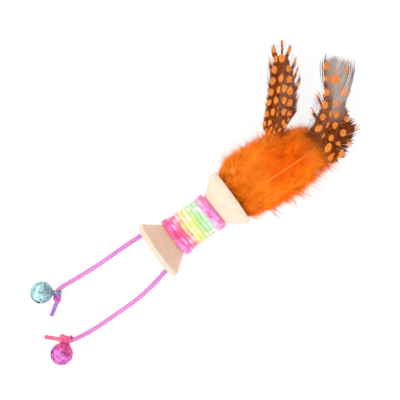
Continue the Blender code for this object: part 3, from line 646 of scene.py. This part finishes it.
for word, plan in bell_plans.items():
    eye, ball_way, across = bell_ways(word)
    axes = Matrix((ball_way, across, ball_way.cross(across))).transposed()
    stands = Matrix.Translation(eye) @ axes.to_4x4()

    rebate_radius = ball_radius - rebate_depth
    rebate = [(loop_reach, rebate_radius), (loop_reach - rebate_width, rebate_radius)]
    outside = [*rebate, *arc(loop_reach, 0, ball_radius, 101, 142, 2.5)]
    foot_along, foot_out = outside[-1]
    neck = [(neck_top + (foot_along - neck_top) * t, neck_radius + (foot_out - neck_radius) * t**1.5)
            for t in 1 - np.linspace(0.08, 1, 12)]
    inside = [(loop_reach - inner_radius, pole), *arc(loop_reach, 0, inner_radius, 177, 90, 3)]
    upper = turn(f"bell_upper_shell_{word}", [*inside, *outside, *neck, (neck_top, pole)], 96)
    ring = primitive(bpy.ops.mesh.primitive_torus_add, major_radius=loop_ring, minor_radius=loop_wire,
                     major_segments=64, minor_segments=20, rotation=(math.pi / 2, 0, 0))
    bpy.ops.object.transform_apply()
    ring.data.transform(Matrix.Diagonal((1, loop_half / loop_wire, 1, 1)))
    combine(upper, ring, "UNION")

    skirt = math.degrees(math.acos(collar_half / ball_radius))
    outside = [(loop_reach + ball_radius, pole), *arc(loop_reach, 0, ball_radius, 3, skirt, 2.5)]
    crimp = collar_radius - ball_radius
    bead = [(loop_reach + collar_half * math.cos(a), ball_radius + crimp * math.sin(a))
            for a in np.radians(np.linspace(12, 168, 9))]
    seat_radius = ball_radius - seat_depth
    seat = [(loop_reach - collar_half, seat_radius), (loop_reach + seat_beyond, seat_radius)]
    inside = [*arc(loop_reach, 0, inner_radius, 87, 3, 3), (loop_reach + inner_radius, pole)]
    lower = turn(f"bell_lower_shell_{word}", [*outside, *bead, *seat, *inside], 120)
    struck = [v.index for v in lower.data.vertices if (v.co - ball_middle).length > ball_radius - sheet / 2
              and abs(v.co.x - loop_reach) > unstruck_edge]
    lower.vertex_groups.new(name="outside").add(struck, 1.0, "REPLACE")
    uneven(lower, "hammer marks", "VORONOI", dent_size, dent_depth, texture_coords="LOCAL",
           vertex_group="outside", mid_level=0.4)
    for side in (1, -1):
        way = Vector((math.cos(hole_turn), side * math.sin(hole_turn), 0))
        punch = primitive(bpy.ops.mesh.primitive_cylinder_add, vertices=40, radius=hole_radius,
                          depth=2 * ball_radius)
        punch.rotation_euler = way.to_track_quat("Z", "Y").to_euler()
        punch.location = ball_middle + way * ball_radius
        combine(lower, punch, "DIFFERENCE")
    blade = primitive(bpy.ops.mesh.primitive_cube_add, size=1)
    blade.scale = (ball_radius, 2 * ball_radius * math.sin(hole_turn), slot_width)
    blade.location = (loop_reach + ball_radius * (math.cos(hole_turn) + 0.5), 0, 0)
    combine(lower, blade, "DIFFERENCE")

    # Clear coloured lacquer over bright plating: a tinted mirror, broken up by the dents and by the
    # fine crackle of the paint, which is darker in its lines and paler where it has worn thin.
    lower.data.transform(Matrix.Rotation(math.radians(plan["slot_roll"]), 4, "X"))
    for shell, part, node_end, crackled in ((upper, "upper", "top", 0.2), (lower, "lower", "bottom", 0.4)):
        deep, mid, pale = plan[part]
        lacquer, shader, add = finish(f"{word} lacquer, {part} shell", {"Metallic": 0.7})
        here = add("TexCoord").outputs["Object"]
        crackle = add("TexVoronoi", {"Vector": here, "Scale": 1.5 / MM}, feature="DISTANCE_TO_EDGE")
        lines = add("ValToRGB", {"Fac": crackle}, stops=[(0.0, deep), (0.08, "FFFFFF")])
        cloud = add("TexNoise", {"Vector": here, "Scale": 0.7 / MM, "Detail": 3.0})
        tint = add("ValToRGB", {"Fac": cloud}, stops=[(0.34, deep), (0.48, mid), (0.64, pale)])
        paint = add("Mix", {0: crackled, 6: tint, 7: lines}, data_type="RGBA", blend_type="MULTIPLY")
        haze = add("MapRange", {"Value": cloud, "To Min": 0.22 + 0.4 * crackled, "To Max": 0.6})
        bump = add("Bump", {"Height": crackle, "Strength": 0.5 * crackled, "Distance": 0.12 * MM})
        plug(shader, {"Base Color": paint, "Roughness": haze, "Normal": bump})
        # The faces inside the ball get the near-black steel: partly oxide, partly painted shade.
        deep_inside = [(face.center - ball_middle).length < ball_radius - sheet / 4
                       for face in shell.data.polygons]
        put(shell, lacquer, f"{word}_bell", plan["slot"], f"bell_{word}_{node_end}", place=stands, sharp=35)
        shell.data.materials.append(shaded_bare_steel)
        shell.data.polygons.foreach_set("material_index", deep_inside)

    # The loose pellet inside is a plain steel shot, scuffed by its own ringing.
    shot = mottled(f"{word} steel shot", per_mm=2.5, stops=[(0.4, "8E8E90"), (0.6, "B9B9BB")],
                   sockets={"Metallic": 1.0}, rough=(0.2, 0.5))
    coat(frame["nodes"][f"bell_{word}_pellet"], shot)

# Feathers: two guinea-fowl feathers, dyed so that the white spots come out orange on dark brown. Each is
# a tapered horn shaft with a row of thin flat barbs on both sides, which hook together into a web. Places
# here and in the down are millimetres from the bore's mouth, and side 1 of a vane is its left.
bore_mouth = np.array([spool_high.x, spool_centre.y, spool_centre.z])
up = np.array(UP)
quill_spread = 1.3
quill_depth = 8.0
shaft_spacing = 0.25
barb_spacing = 0.11
barb_curve = 0.03  # radians a millimetre
barb_thick = 0.03
clump_length = 1.9
feather_plans = {
    "left": {
        "seat": (1, 1),
        "route": [(9.4, 2.0, 1.8), (19.4, 5.3, 2.3), (27.5, 9.8, 2.0), (32.8, 13.9, 1.2), (37.7, 18.7, 0.2),
                  (42.3, 23.4, -0.8), (46.3, 28.0, -1.6), (50.9, 33.6, -2.6), (55.3, 39.1, -3.4),
                  (57.6, 42.2, -3.7)],
        "vane_start": 32.0,
        "wisps": 3.0,
        "outline": {
            1: [(-0.08, 3.6), (0.0, 5.0), (0.13, 6.1), (0.37, 6.2), (0.61, 6.8), (0.73, 6.6), (0.85, 5.4),
                (0.93, 4.8), (0.965, 4.2), (0.985, 1.4), (1.03, 0.4)],
            -1: [(-0.08, 1.6), (0.0, 3.0), (0.13, 4.6), (0.25, 6.5), (0.37, 8.4), (0.61, 8.6), (0.73, 7.8),
                 (0.85, 6.6), (0.93, 5.2), (0.965, 4.4), (0.985, 1.4), (1.03, 0.4)]},
        "web": {
            1: [(-0.08, 3.6), (0.09, 5.9), (0.3, 5.6), (0.56, 5.3), (0.68, 4.9), (0.76, 4.2), (0.82, 3.2),
                (0.87, 0.5), (1.03, 0.1)],
            -1: [(-0.08, 1.6), (0.0, 3.2), (0.13, 5.2), (0.3, 8.6), (0.44, 7.7), (0.56, 6.7), (0.68, 5.6),
                 (0.76, 4.2), (0.82, 3.2), (0.87, 0.5), (1.03, 0.1)]},
        "lean": {1: [(-0.1, 54), (0.2, 44), (0.6, 36), (0.85, 24), (1.0, 5)],
                 -1: [(-0.1, 54), (0.2, 46), (0.6, 38), (0.85, 25), (1.0, 5)]},
        "strays": {1: 0.2, -1: 0.15},
        "fullness": {1: [(0, 1), (0.85, 1), (1, 0.6)], -1: [(0, 1), (0.85, 1), (1, 0.6)]},
        "pale": {1: [(0, 0)], -1: [(0, 0), (0.4, 0.12), (1, 0)]},
        "spots": [(3.5, 5.2, 7, 5.0, 2.8, 1.1), (5.0, 5.2, 5, 2.7, 0.0, 0.95), (5.7, 5.2, 4, -3.5, -1.9, 1.3),
                  (10.1, 5.1, 5, -5.0, -3.2, 1.3), (18.1, 5.3, 4, -8.6, -6.0, 0.75),
                  (33.1, 0, 1, 5.4, 5.4, 0.7), (35.0, 0, 1, 0.0, 0.0, 1.6), (38.4, 0, 1, 3.4, 3.4, 1.0),
                  (38.8, 0, 1, -3.0, -3.0, 1.0), (42.1, 0, 1, 0.0, 0.0, 0.9), (-1.6, 1.7, 4, 4.3, -2.2, 0.65),
                  (9.6, 3.0, 2, 0.0, 0.2, 0.55), (4.2, 0, 1, -1.0, -1.0, 0.75), (7.6, 0, 1, -5.2, -5.2, 0.8),
                  (0.9, 1.7, 3, 3.7, -0.5, 0.7)],
        "fan": 200.0,
        "seed": 11,
    },
    "right": {
        "seat": (-1, 1),
        "route": [(6.0, -2.0, 3.6), (13.8, -3.1, 6.0), (28.0, -3.9, 6.0), (41.2, -3.7, 3.4),
                  (46.4, -1.6, 2.2), (51.6, 1.0, 0.8), (56.3, 4.5, -0.7), (62.3, 10.2, -2.1),
                  (67.0, 15.7, -3.1), (71.6, 22.2, -3.8)],
        "vane_start": 42.0,
        "wisps": 8.0,
        "outline": {
            1: [(-0.2, 9.0), (-0.08, 9.5), (0.0, 9.5), (0.12, 9.0), (0.25, 8.6), (0.5, 9.0), (0.62, 8.6),
                (0.7, 6.2), (0.85, 6.6), (0.98, 6.8), (1.06, 6.0), (1.08, 2.0)],
            -1: [(-0.2, 4.0), (-0.08, 7.5), (0.0, 10.4), (0.1, 14.2), (0.25, 14.8), (0.38, 13.6), (0.46, 9.4),
                 (0.53, 6.4), (0.6, 6.8), (0.7, 8.0), (0.85, 9.4), (1.0, 10.4), (1.06, 8.0), (1.1, 2.0)]},
        "web": {
            1: [(-0.2, 6.6), (0.0, 7.0), (0.12, 6.6), (0.36, 5.8), (0.5, 4.8), (0.7, 4.5), (1.0, 4.9),
                (1.05, 2.0)],
            -1: [(-0.2, 4.0), (-0.08, 7.5), (0.0, 10.0), (0.1, 13.2), (0.25, 13.8), (0.38, 12.4), (0.46, 8.6),
                 (0.53, 5.7), (0.6, 6.3), (0.7, 7.4), (0.85, 8.8), (0.98, 9.6), (1.03, 7.0), (1.06, 2.0)]},
        "lean": {
            1: [(-0.2, 75), (0.1, 62), (0.42, 44), (0.46, 30), (0.85, 25), (1.0, 6)],
            -1: [(-0.2, 115), (0.05, 98), (0.2, 80), (0.38, 62), (0.46, 48), (0.55, 38), (0.85, 33),
                 (1.0, 8)]},
        "strays": {1: 0.45, -1: 0.12},
        "fullness": {1: [(-0.2, 0.15), (-0.05, 0.3), (0.05, 0.9), (0.5, 0.9), (0.65, 0.65), (1, 0.35)],
                     -1: [(-0.2, 0.15), (-0.06, 0.6), (0, 1), (0.4, 1), (0.5, 0.65), (1, 0.35)]},
        "pale": {1: [(0, 0), (0.5, 0.12), (0.62, 0.5), (1, 0.85)],
                 -1: [(0, -0.6), (0.2, -0.5), (0.32, 0.1), (0.5, 0.7), (1, 0.9)]},
        "spots": [(3.1, 5.0, 5, -4.5, -1.6, 1.3), (6.8, 5.6, 3, -0.4, 0.1, 0.7),
                  (9.0, 6.1, 6, 3.0, 3.6, 1.25), (16.3, 8.5, 2, 8.0, 7.2, 0.8),
                  (2.0, 5.1, 5, -7.8, -7.4, 1.3), (3.2, 6.0, 3, -10.8, -13.0, 1.1),
                  (28.9, 0, 1, -4.4, -4.4, 1.6), (33.9, 0, 1, -0.2, -0.2, 1.8),
                  (38.1, 0, 1, -5.1, -5.1, 0.95)],
        "fan": 16.0,
        "seed": 23,
    },
}


def strands(name, paths, sides, tops, attributes):
    """Many thin closed strands in one mesh: three-cornered rings along each path, with attributes."""
    made = tubes(name, np.stack([paths + sides, paths - sides, paths + tops], axis=2))
    for word, values in attributes.items():
        kind, field = ("FLOAT_VECTOR", "vector") if values.ndim == 3 else ("FLOAT", "value")
        spread = np.repeat(values, 3, axis=1).astype(np.float32)
        made.data.attributes.new(word, kind, "POINT").data.foreach_set(field, spread.ravel())
    made.data.shade_flat()
    return made


def read(stations, places, **ends):
    """The values at some places, from (place, value) stations."""
    return np.interp(places, *zip(*stations), **ends)


def along_line(line, wanted, spacing):
    """Points and headings at distances along an evenly spaced line, carried straight on past its end."""
    reached = spacing * np.arange(len(line))
    places = np.clip(wanted, 0, reached[-1])
    ahead = unit(between(places, reached, unit(np.gradient(line, axis=0))))
    return between(places, reached, line) + ahead * (wanted - places)[..., None], ahead


def spot_list(columns, fan, rng):
    """Spots as (along, across, half length, half width, slant), from columns that run along the feather.

    A column has its first spot's place, its spacing, its count, its first and last side distance and its
    spots' half width. No two spots are quite alike. The barbs spread out on the outside of the bend, as
    spokes do whose hub lies the fan's radius away, and the spots there are set shorter by as much.
    """
    spots = []
    for first, spacing, count, side_first, side_last, half_width in columns:
        for k, across in enumerate(np.linspace(side_first, side_last, count)):
            size = rng.uniform(0.9, 1.12)
            half_length = (0.55 * half_width + 1.15) * size / (1 + max(0, -across) / fan)
            slant = math.radians(rng.uniform(-20, 10))
            along = first + spacing * k + rng.normal(0, 0.2)
            spots.append((along, across, half_length, half_width * size, slant))
    return np.array(spots)


def from_spots(spots, along, across):
    """Each place's offset from its nearest spot, in that spot's own half sizes.

    The third number is large where the nearest spot changes along a barb, so no spot shows between two.
    """
    away = np.stack([along, across], axis=-1)[..., None, :] - spots[:, :2]
    slant = spots[:, 4]
    lengthways = (away[..., 0] * np.cos(slant) + away[..., 1] * np.sin(slant)) / spots[:, 2]
    sideways = (away[..., 1] * np.cos(slant) - away[..., 0] * np.sin(slant)) / spots[:, 3]
    nearest = np.hypot(lengthways, sideways).argmin(axis=-1)
    changes = np.diff(nearest, axis=1) != 0
    border = np.zeros(nearest.shape)
    border[:, :-1][changes] = 1.2
    border[:, 1:][changes] = 1.2
    chosen = nearest[..., None]
    return np.stack([np.take_along_axis(lengthways, chosen, -1)[..., 0],
                     np.take_along_axis(sideways, chosen, -1)[..., 0], border], axis=-1)


def make_vane(word, line, spacing, plan):
    """One feather's web: barbs that leave the shaft aslant, bend forward and end near the vane's outline."""
    rng = np.random.default_rng(plan["seed"])
    start = plan["vane_start"] + quill_depth
    total = spacing * (len(line) - 1)
    spots = spot_list(plan["spots"], plan["fan"], rng)
    made = []
    for side in (1, -1):
        roots = np.arange(start - plan["wisps"], total, barb_spacing)
        count = len(roots)
        roots = roots + rng.normal(0, 0.02, count)
        share = (roots - start) / (total - start)
        clumps = np.floor(roots / clump_length + 0.4 * np.sin(roots * 0.7)).astype(int)
        astray = rng.normal(0, 0.12, clumps.max() + 1)[clumps] + rng.normal(0, 0.12, count)
        lean = np.radians(read(plan["lean"][side], share) + astray)[:, None]
        curve = (barb_curve + rng.normal(0, 0.0008, count))[:, None]

        def run_out(run):
            return ((np.cos(lean - curve * run) - np.cos(lean)) / curve,
                    (np.sin(lean) - np.sin(lean - curve * run)) / curve)

        reach = np.linspace(0.1, 28, 220)
        reach_side, reach_forward = run_out(reach)
        reach_along = roots[:, None] + reach_forward - start

        def run_to(outline):
            outside = reach_side > read(outline[side], reach_along / (total - start), right=0.0)
            return np.where(outside.any(axis=1), reach[outside.argmax(axis=1)], reach[-1])

        # Most barbs end with the closed web. Those that carry an outlying spot go on to the outline, and
        # so do a few stray ones.
        web_end = run_to(plan["web"])
        off_spot = np.linalg.norm(from_spots(spots, reach_along, side * reach_side)[..., :2], axis=-1)
        carries = ((off_spot < 0.65) & (reach > web_end[:, None])).any(axis=1)
        stray = ~carries & (rng.uniform(0, 1, count) < plan["strays"][side])
        full = read(plan["fullness"][side], share)
        inner = rng.uniform(0, 1, count) < 0.7
        ragged = np.where(inner, rng.uniform(0.9, 0.98, count), rng.uniform(0.98, 1.1, count))
        ragged = ragged * (1 - (1 - full) * rng.uniform(0, 0.6, count) * (share > 0))
        lengths = np.where(carries | stray, run_to(plan["outline"]), web_end) * ragged
        t = np.linspace(0, 1, 15)
        thinned = stray[:, None] & (lengths[:, None] * t > 0.9 * web_end[:, None])
        full = full[:, None] * np.where(thinned, 0.4, 1)
        sideways, forward = run_out(lengths[:, None] * t)
        middles = np.array([roots[clumps == clump].mean() for clump in clumps])
        drawn = ((middles - roots) * 0.05)[:, None] * t**2
        at, ahead = along_line(line, roots[:, None] + forward + drawn, spacing)
        left = unit(np.cross(up, ahead))
        height = 0.12 + rng.uniform(-0.12, 0.12, count)[:, None] * t - 0.9 * (sideways / 8) ** 2
        paths = at + left * (side * sideways)[..., None] + up * height[..., None]
        heading = unit(np.gradient(paths, axis=1))
        across = unit(np.cross(up, heading))
        apart = np.linalg.norm(np.cross(np.gradient(paths, axis=0), heading), axis=-1)
        apart = np.clip(np.apply_along_axis(np.convolve, 0, apart, np.full(9, 1 / 9), "same"), 0.08, 0.8)
        width = 0.95 * apart * full * np.interp(t, [0, 0.9, 1], [1, 0.9, 0.06])
        sides = (across + up * 0.25) * width[..., None]
        tops = np.cross(heading, across) * barb_thick
        web_along = roots[:, None] + forward + drawn - start + rng.normal(0, 0.1, (count, 1))
        pale = read(plan["pale"][side], share)[:, None] * np.interp(t, [0, 0.75, 1], [1, 1, 0.1])
        pale = np.where(pale < 0, pale * t**1.5, pale)
        web = np.stack([web_along, side * sideways, pale], axis=-1)
        made.append((paths, sides, tops, web, from_spots(spots, web_along, side * sideways)))
    paths, sides, tops, web, spot = (np.concatenate(parts) for parts in zip(*made))
    return strands(f"spotted_vane_{word}", bore_mouth + paths * MM, sides * MM, tops * MM,
                   {"web": web, "spot": spot})


# Dyed feather barbs: matt brown with round orange spots. The web attribute holds the place on the vane in
# millimetres and how pale it is, or how dark below zero. The spot attribute holds the offset from the
# nearest spot, which is 1 long at its edge.
barbs, shader, add = finish("spotted feather barbs", {"Roughness": 0.7, "Specular IOR Level": 0.05})
web = add("Attribute", attribute_name="web").outputs["Vector"]
away = add("VectorMath", {0: add("Attribute", attribute_name="spot").outputs["Vector"]}, operation="LENGTH")
dot = add("MapRange", {"Value": away, "From Min": 1.1, "From Max": 0.92})
where = add("SeparateXYZ", {"Vector": web}).outputs
streak = add("TexNoise", {"Vector": web, "Scale": 0.8, "Detail": 3.0})
brown = add("ValToRGB", {"Fac": streak}, stops=[(0.34, "562208"), (0.66, "964819")])
depth = add("MapRange", {"Value": where["Z"], "From Max": -1.0})
dark = add("Mix", {0: depth, 6: brown, 7: linear("2A140A")}, data_type="RGBA")
greyed = add("Mix", {0: where["Z"], 6: dark, 7: linear("C4B3AA")}, data_type="RGBA")
orange = add("ValToRGB", {"Fac": streak}, stops=[(0.35, "EC822D"), (0.65, "F19549")])
spotted = add("Mix", {0: dot, 6: greyed, 7: orange}, data_type="RGBA")
downy = add("Math", {0: streak, 1: 9.0, 2: where["X"]}, operation="MULTIPLY_ADD")
at_base = add("MapRange", {"Value": downy, "From Min": 7.5, "From Max": 2.0})
rooted = add("Mix", {0: at_base, 6: spotted, 7: linear("F0761E")}, data_type="RGBA")
plug(shader, {"Base Color": rooted})

for word, plan in feather_plans.items():
    seat = np.array([0, plan["seat"][0] * quill_spread, plan["seat"][1] * quill_spread])
    inside = [seat - (quill_depth * share, 0, 0) for share in (1, 0.5, 0)]
    line = smooth(inside + plan["route"], shaft_spacing)
    share = np.linspace(0, 1, len(line))
    thick = np.interp(share, [0, 0.1, 0.2, 0.5, 1], [0.75, 0.55, 0.27, 0.22, 0.1]) * MM
    shaft = sweep(f"horn_shaft_{word}", bore_mouth + line[::3] * MM,
                  np.stack([thick, thick * 0.9], axis=1)[::3], sides=12)

    # The horn is stained orange in the down and dark brown in the vane, with faint fibres along it.
    horn, shader, add = finish(f"dyed feather horn {word}", {"IOR": 1.54, "Specular IOR Level": 0.25})
    along = add("UVMap", uv_map="length")
    here = add("SeparateXYZ", {"Vector": along}).outputs["X"]
    rise = add("Math", {0: here, 1: 0.5 / (plan["vane_start"] + quill_depth)}, operation="MULTIPLY")
    stain = add("ValToRGB", {"Fac": rise},
                stops=[(0.1, "F79A38"), (0.46, "FC8A22"), (0.53, "8A4A20"), (0.6, "4A2818")])
    fibre_at = add("Mapping", {"Vector": along, "Scale": (0.2, 14.0, 1.0)})
    fibre = add("TexNoise", {"Vector": fibre_at, "Scale": 1.0})
    fibrous = add("MapRange", {"Value": fibre, "To Min": 0.32, "To Max": 0.55})
    plug(shader, {"Base Color": stain, "Roughness": fibrous})
    put(shaft, horn, "spool", "quill_horn", f"feather_{word}_shaft")
    vane = make_vane(word, line, distances(line)[-1] / (len(line) - 1), plan)
    put(vane, barbs, "spool", "spotted_barbs", f"feather_{word}_vane")
    parting = line  # of the down: the right feather, drawn last, lies on it

# Down: two dyed marabou plumes. Each has a thin quill with soft barbs that lie back along it in tufts, and
# fine barbules on the barbs fill it out. The two close up into one light mass that covers the end face.
# Its stations are a place along, across and up, a half width and a half height.
plume_plans = {
    "left": {
        "down": [(0.3, 2.2, -0.6, 7.6, 9.6), (2.2, 2.2, -1.0, 9.8, 10.4), (5.0, 2.3, -1.6, 11.8, 10.2),
                 (9.4, 2.4, -2.4, 12.8, 9.4), (19.4, 2.4, -3.2, 11.4, 8.6), (26.5, 2.6, -4.6, 10.0, 8.2),
                 (33.0, 3.0, -5.6, 6.0, 6.6), (38.0, 3.0, -6.4, 3.0, 4.4), (41.0, 3.0, -7.0, 1.4, 2.0)],
        "tone": 0.06,
        "seed": 5,
    },
    "right": {
        "down": [(0.3, -2.2, -0.6, 8.2, 9.6), (2.2, -2.2, -1.0, 9.6, 10.4), (5.0, -2.3, -1.6, 10.8, 10.2),
                 (9.4, -2.4, -2.4, 12.0, 9.4), (19.4, -2.6, -3.2, 13.4, 8.6), (29.4, -3.0, -4.0, 12.8, 8.2),
                 (36.4, -3.6, -5.2, 11.2, 7.6), (41.4, -4.4, -6.2, 8.4, 6.0), (44.6, -4.8, -6.8, 4.4, 3.6),
                 (46.0, -5.0, -7.0, 1.4, 1.4)],
        "tone": -0.06,
        "seed": 8,
    },
}
table_below = -spool_centre.z / MM
clearance = 0.1  # of the hairs from the end face and from the table
parting_from, parting_half, parting_depth = 12, 0.35, 0.2
tufts, hairs_a_tuft = 900, 7
barbules = 8000
wisps, hairs_a_wisp = 420, 5
hollow = bore_mouth + np.array([27.0, -0.5, 4.0]) * MM

# Dyed down: bright orange in random deeper and paler patches. Each hair is painted deeper at its root and
# paler at its fine tip, partly dye and partly painted shade between the tufts, and the hollow between the
# plumes is painted deeper as painted shade. It has no gloss, only the strong soft sheen of many thin fibres.
down, shader, add = finish("orange marabou down", {
    "Roughness": 0.9, "Specular IOR Level": 0.1, "Sheen Weight": 0.5, "Sheen Roughness": 0.6,
    "Sheen Tint": linear("FF7A18")})
here = add("TexCoord").outputs["Object"]
shade = add("Attribute", attribute_name="shade").outputs["Fac"]
patch = add("TexNoise", {"Vector": here, "Scale": 0.11 / MM, "Detail": 2.0})
mixed = add("Math", {0: patch, 1: 0.4, 2: shade}, operation="MULTIPLY_ADD")
# Painted shade: the tone is lowered within 12 mm of the hollow between the plumes, most within 5 mm, so the
# ramp's colours carry dye and painted shade together.
from_hollow = add("VectorMath", {0: here, 1: tuple(hollow)}, operation="DISTANCE")
hollow_shade = add("MapRange", {"Value": from_hollow, "From Min": 5 * MM, "From Max": 12 * MM, "To Min": 0.32,
                        "To Max": 0.0})
tone_and_shade = add("Math", {0: mixed, 1: hollow_shade}, operation="SUBTRACT")
dyed = add("ValToRGB", {"Fac": tone_and_shade}, stops=[(0.0, "B44C0C"), (0.16, "F2660A"), (0.3, "FF760C"),
                                                 (0.5, "FF8A14"), (0.75, "FF9C28"), (1.0, "FFB854")])
plug(shader, {"Base Color": dyed})


def hairs(name, roots, outward, ways, bends, lengths, rings, width, tones, rng):
    """Tapering hairs: each runs its length along its way and bends as it goes. None lies on the parting."""
    t = np.linspace(0, 1, rings)
    paths = roots[:, None] + (ways * lengths[:, None])[:, None] * t[:, None]
    paths = paths + (bends * lengths[:, None])[:, None] * (t**2)[:, None]
    paths[..., 0] = np.maximum(paths[..., 0], clearance)
    paths[..., 2] = np.maximum(paths[..., 2], table_below + clearance)
    off = paths - between(paths[..., 0], parting[:, 0], parting)
    on_it = (np.abs(off[..., 1]) < parting_half) & (off[..., 2] > -parting_depth)
    keep = ~(on_it & (paths[..., 0] > parting_from)).any(axis=1)
    paths, outward, tones = paths[keep], outward[keep], tones[keep]
    heading = unit(np.gradient(paths, axis=1))
    across = unit(np.cross(outward[:, None] + rng.normal(0, 0.25, (len(paths), 1, 3)), heading))
    wide = (np.interp(t, [0, 0.6, 1], [1, 0.85, 0.15]) * width)[:, None]
    tops = np.cross(heading, across) * 0.4 * wide
    # Each hair is deeper at its root, between the tufts, and paler toward its tip: partly dye and partly
    # painted shade.
    shades = np.clip(tones[:, None] + 0.22 * t, -0.25, 0.9)
    made = strands(name, bore_mouth + paths * MM, across * wide * MM, tops * MM, {"shade": shades})
    put(made, down, "spool", "orange_down")


for word, plan in plume_plans.items():
    rng = np.random.default_rng(plan["seed"])
    stations = np.array(plan["down"])
    body_line = smooth(stations[:, :3], spacing=0.8)
    body_size = between(body_line[:, 0], stations[:, 0], stations[:, 3:])
    body = sweep(f"down_body_{word}", bore_mouth + body_line * MM, body_size * 0.95 * MM, sides=72)
    uneven(body, "billows", "CLOUDS", size=5 * MM, strength=1.6 * MM)
    shades = np.full(len(body.data.vertices), 0.4, np.float32)
    body.data.attributes.new("shade", "FLOAT", "POINT").data.foreach_set("value", shades)
    put(body, down, "spool", "orange_down", f"plume_{word}_down")

    # Tufts lie back along the plume, close to its surface, and turn outward where they meet the end face.
    at_rim = rng.uniform(0, 1, tufts) < 0.07
    share = np.where(at_rim, rng.uniform(0, 0.05, tufts), rng.uniform(0, 1, tufts))
    x = stations[0, 0] + (stations[-1, 0] - stations[0, 0]) * share
    y, z, half_width, half_height = between(x, stations[:, 0], stations[:, 1:]).T
    turned = rng.uniform(0, 2 * math.pi, tufts)
    none = np.zeros(tufts)
    outward = unit(np.stack([none, np.cos(turned) / half_width, np.sin(turned) / half_height], axis=1))
    around = np.stack([none, -outward[:, 2], outward[:, 1]], axis=1)
    surface = np.stack([none, half_width * np.cos(turned), half_height * np.sin(turned)], axis=1)
    roots = np.stack([x, y, z], axis=1) + surface * rng.uniform(0.86, 0.98, tufts)[:, None]
    back = np.interp(share, [0, 0.05, 0.2, 1], [0.75, 0.85, 0.95, 1.0])[:, None]
    lift = np.interp(share, [0, 0.05, 0.2, 1], [0.4, 0.3, 0.15, 0.2])[:, None]
    lift = lift * rng.uniform(0.4, 1.5, (tufts, 1)) * (0.5 + 1.7 * np.abs(outward[:, 1:2]))
    ways = unit(back * np.array([1, 0, 0]) + outward * lift + around * rng.normal(0, 0.55, (tufts, 1)))
    owner = np.repeat(np.arange(tufts), hairs_a_tuft)
    count = len(owner)
    bends = unit(rng.normal(0, 1, (tufts, 3)))[owner] * 0.2 - outward[owner] * 0.2
    hairs(f"down_barbs_{word}", roots[owner] + rng.normal(0, 0.5, (count, 3)), outward[owner],
          unit(ways[owner] + rng.normal(0, 0.16, (count, 3))), bends + rng.normal(0, 0.06, (count, 3)),
          rng.uniform(3.0, 6.0, tufts)[owner] * rng.uniform(0.7, 1.1, count), rings=5, width=0.07,
          tones=rng.normal(0.3, 0.1, tufts)[owner] + plan["tone"], rng=rng)

    # Barbules: short and finer, set every way on the tufts, and the outermost stand off as fuzz.
    for layer, (place_from, place_to, spread, reach) in enumerate(((0, 4, 0.8, 2.1), (2, 5, 1.2, 3.2))):
        pick = rng.integers(0, tufts, barbules)
        place = rng.uniform(place_from, place_to, barbules)[:, None]
        roots_on = roots[pick] + ways[pick] * place - outward[pick] * 0.2 * place**2 / 5
        astray = unit(rng.normal(0, 1, (barbules, 3)))
        aim = unit(ways[pick] * 0.8 + outward[pick] * 0.25 * layer + astray * spread)
        hairs(f"down_fuzz_{word}_{layer + 1}", roots_on + rng.normal(0, 0.5, (barbules, 3)), outward[pick],
              aim, rng.normal(0, 0.25, (barbules, 3)), rng.uniform(0.4, 1.0, barbules) * reach, rings=4,
              width=0.045 - 0.01 * layer, tones=rng.normal(0.34, 0.1, barbules) + plan["tone"], rng=rng)

    # Wisps: small tufts that stand off the outline, mostly sideways, and blur it.
    pick = np.repeat(rng.choice(tufts, wisps), hairs_a_wisp)
    count = len(pick)
    aim = unit(outward * np.array([1, 1.2, 0.4]) + ways * 0.5 + rng.normal(0, 0.4, (tufts, 3)))
    hairs(f"down_wisps_{word}", roots[pick] + rng.normal(0, 0.25, (count, 3)), outward[pick],
          unit(aim[pick] + rng.normal(0, 0.2, (count, 3))), rng.normal(0, 0.26, (count, 3)),
          rng.choice([1.8, 2.5, 3.5, 6.2], tufts)[pick] * rng.uniform(0.6, 1.1, count), rings=5, width=0.1,
          tones=rng.normal(0.3, 0.1, tufts)[pick] - 0.35 * np.abs(outward[pick, 1]) ** 3, rng=rng)

    quill = mottled(f"plume quill {word}", per_mm=0.9, stops=[(0.4, "EE9A4C"), (0.6, "F6B878")],
                    sockets={"IOR": 1.54, "Roughness": 0.45})
    coat(frame["nodes"][f"plume_{word}_quill"], quill)
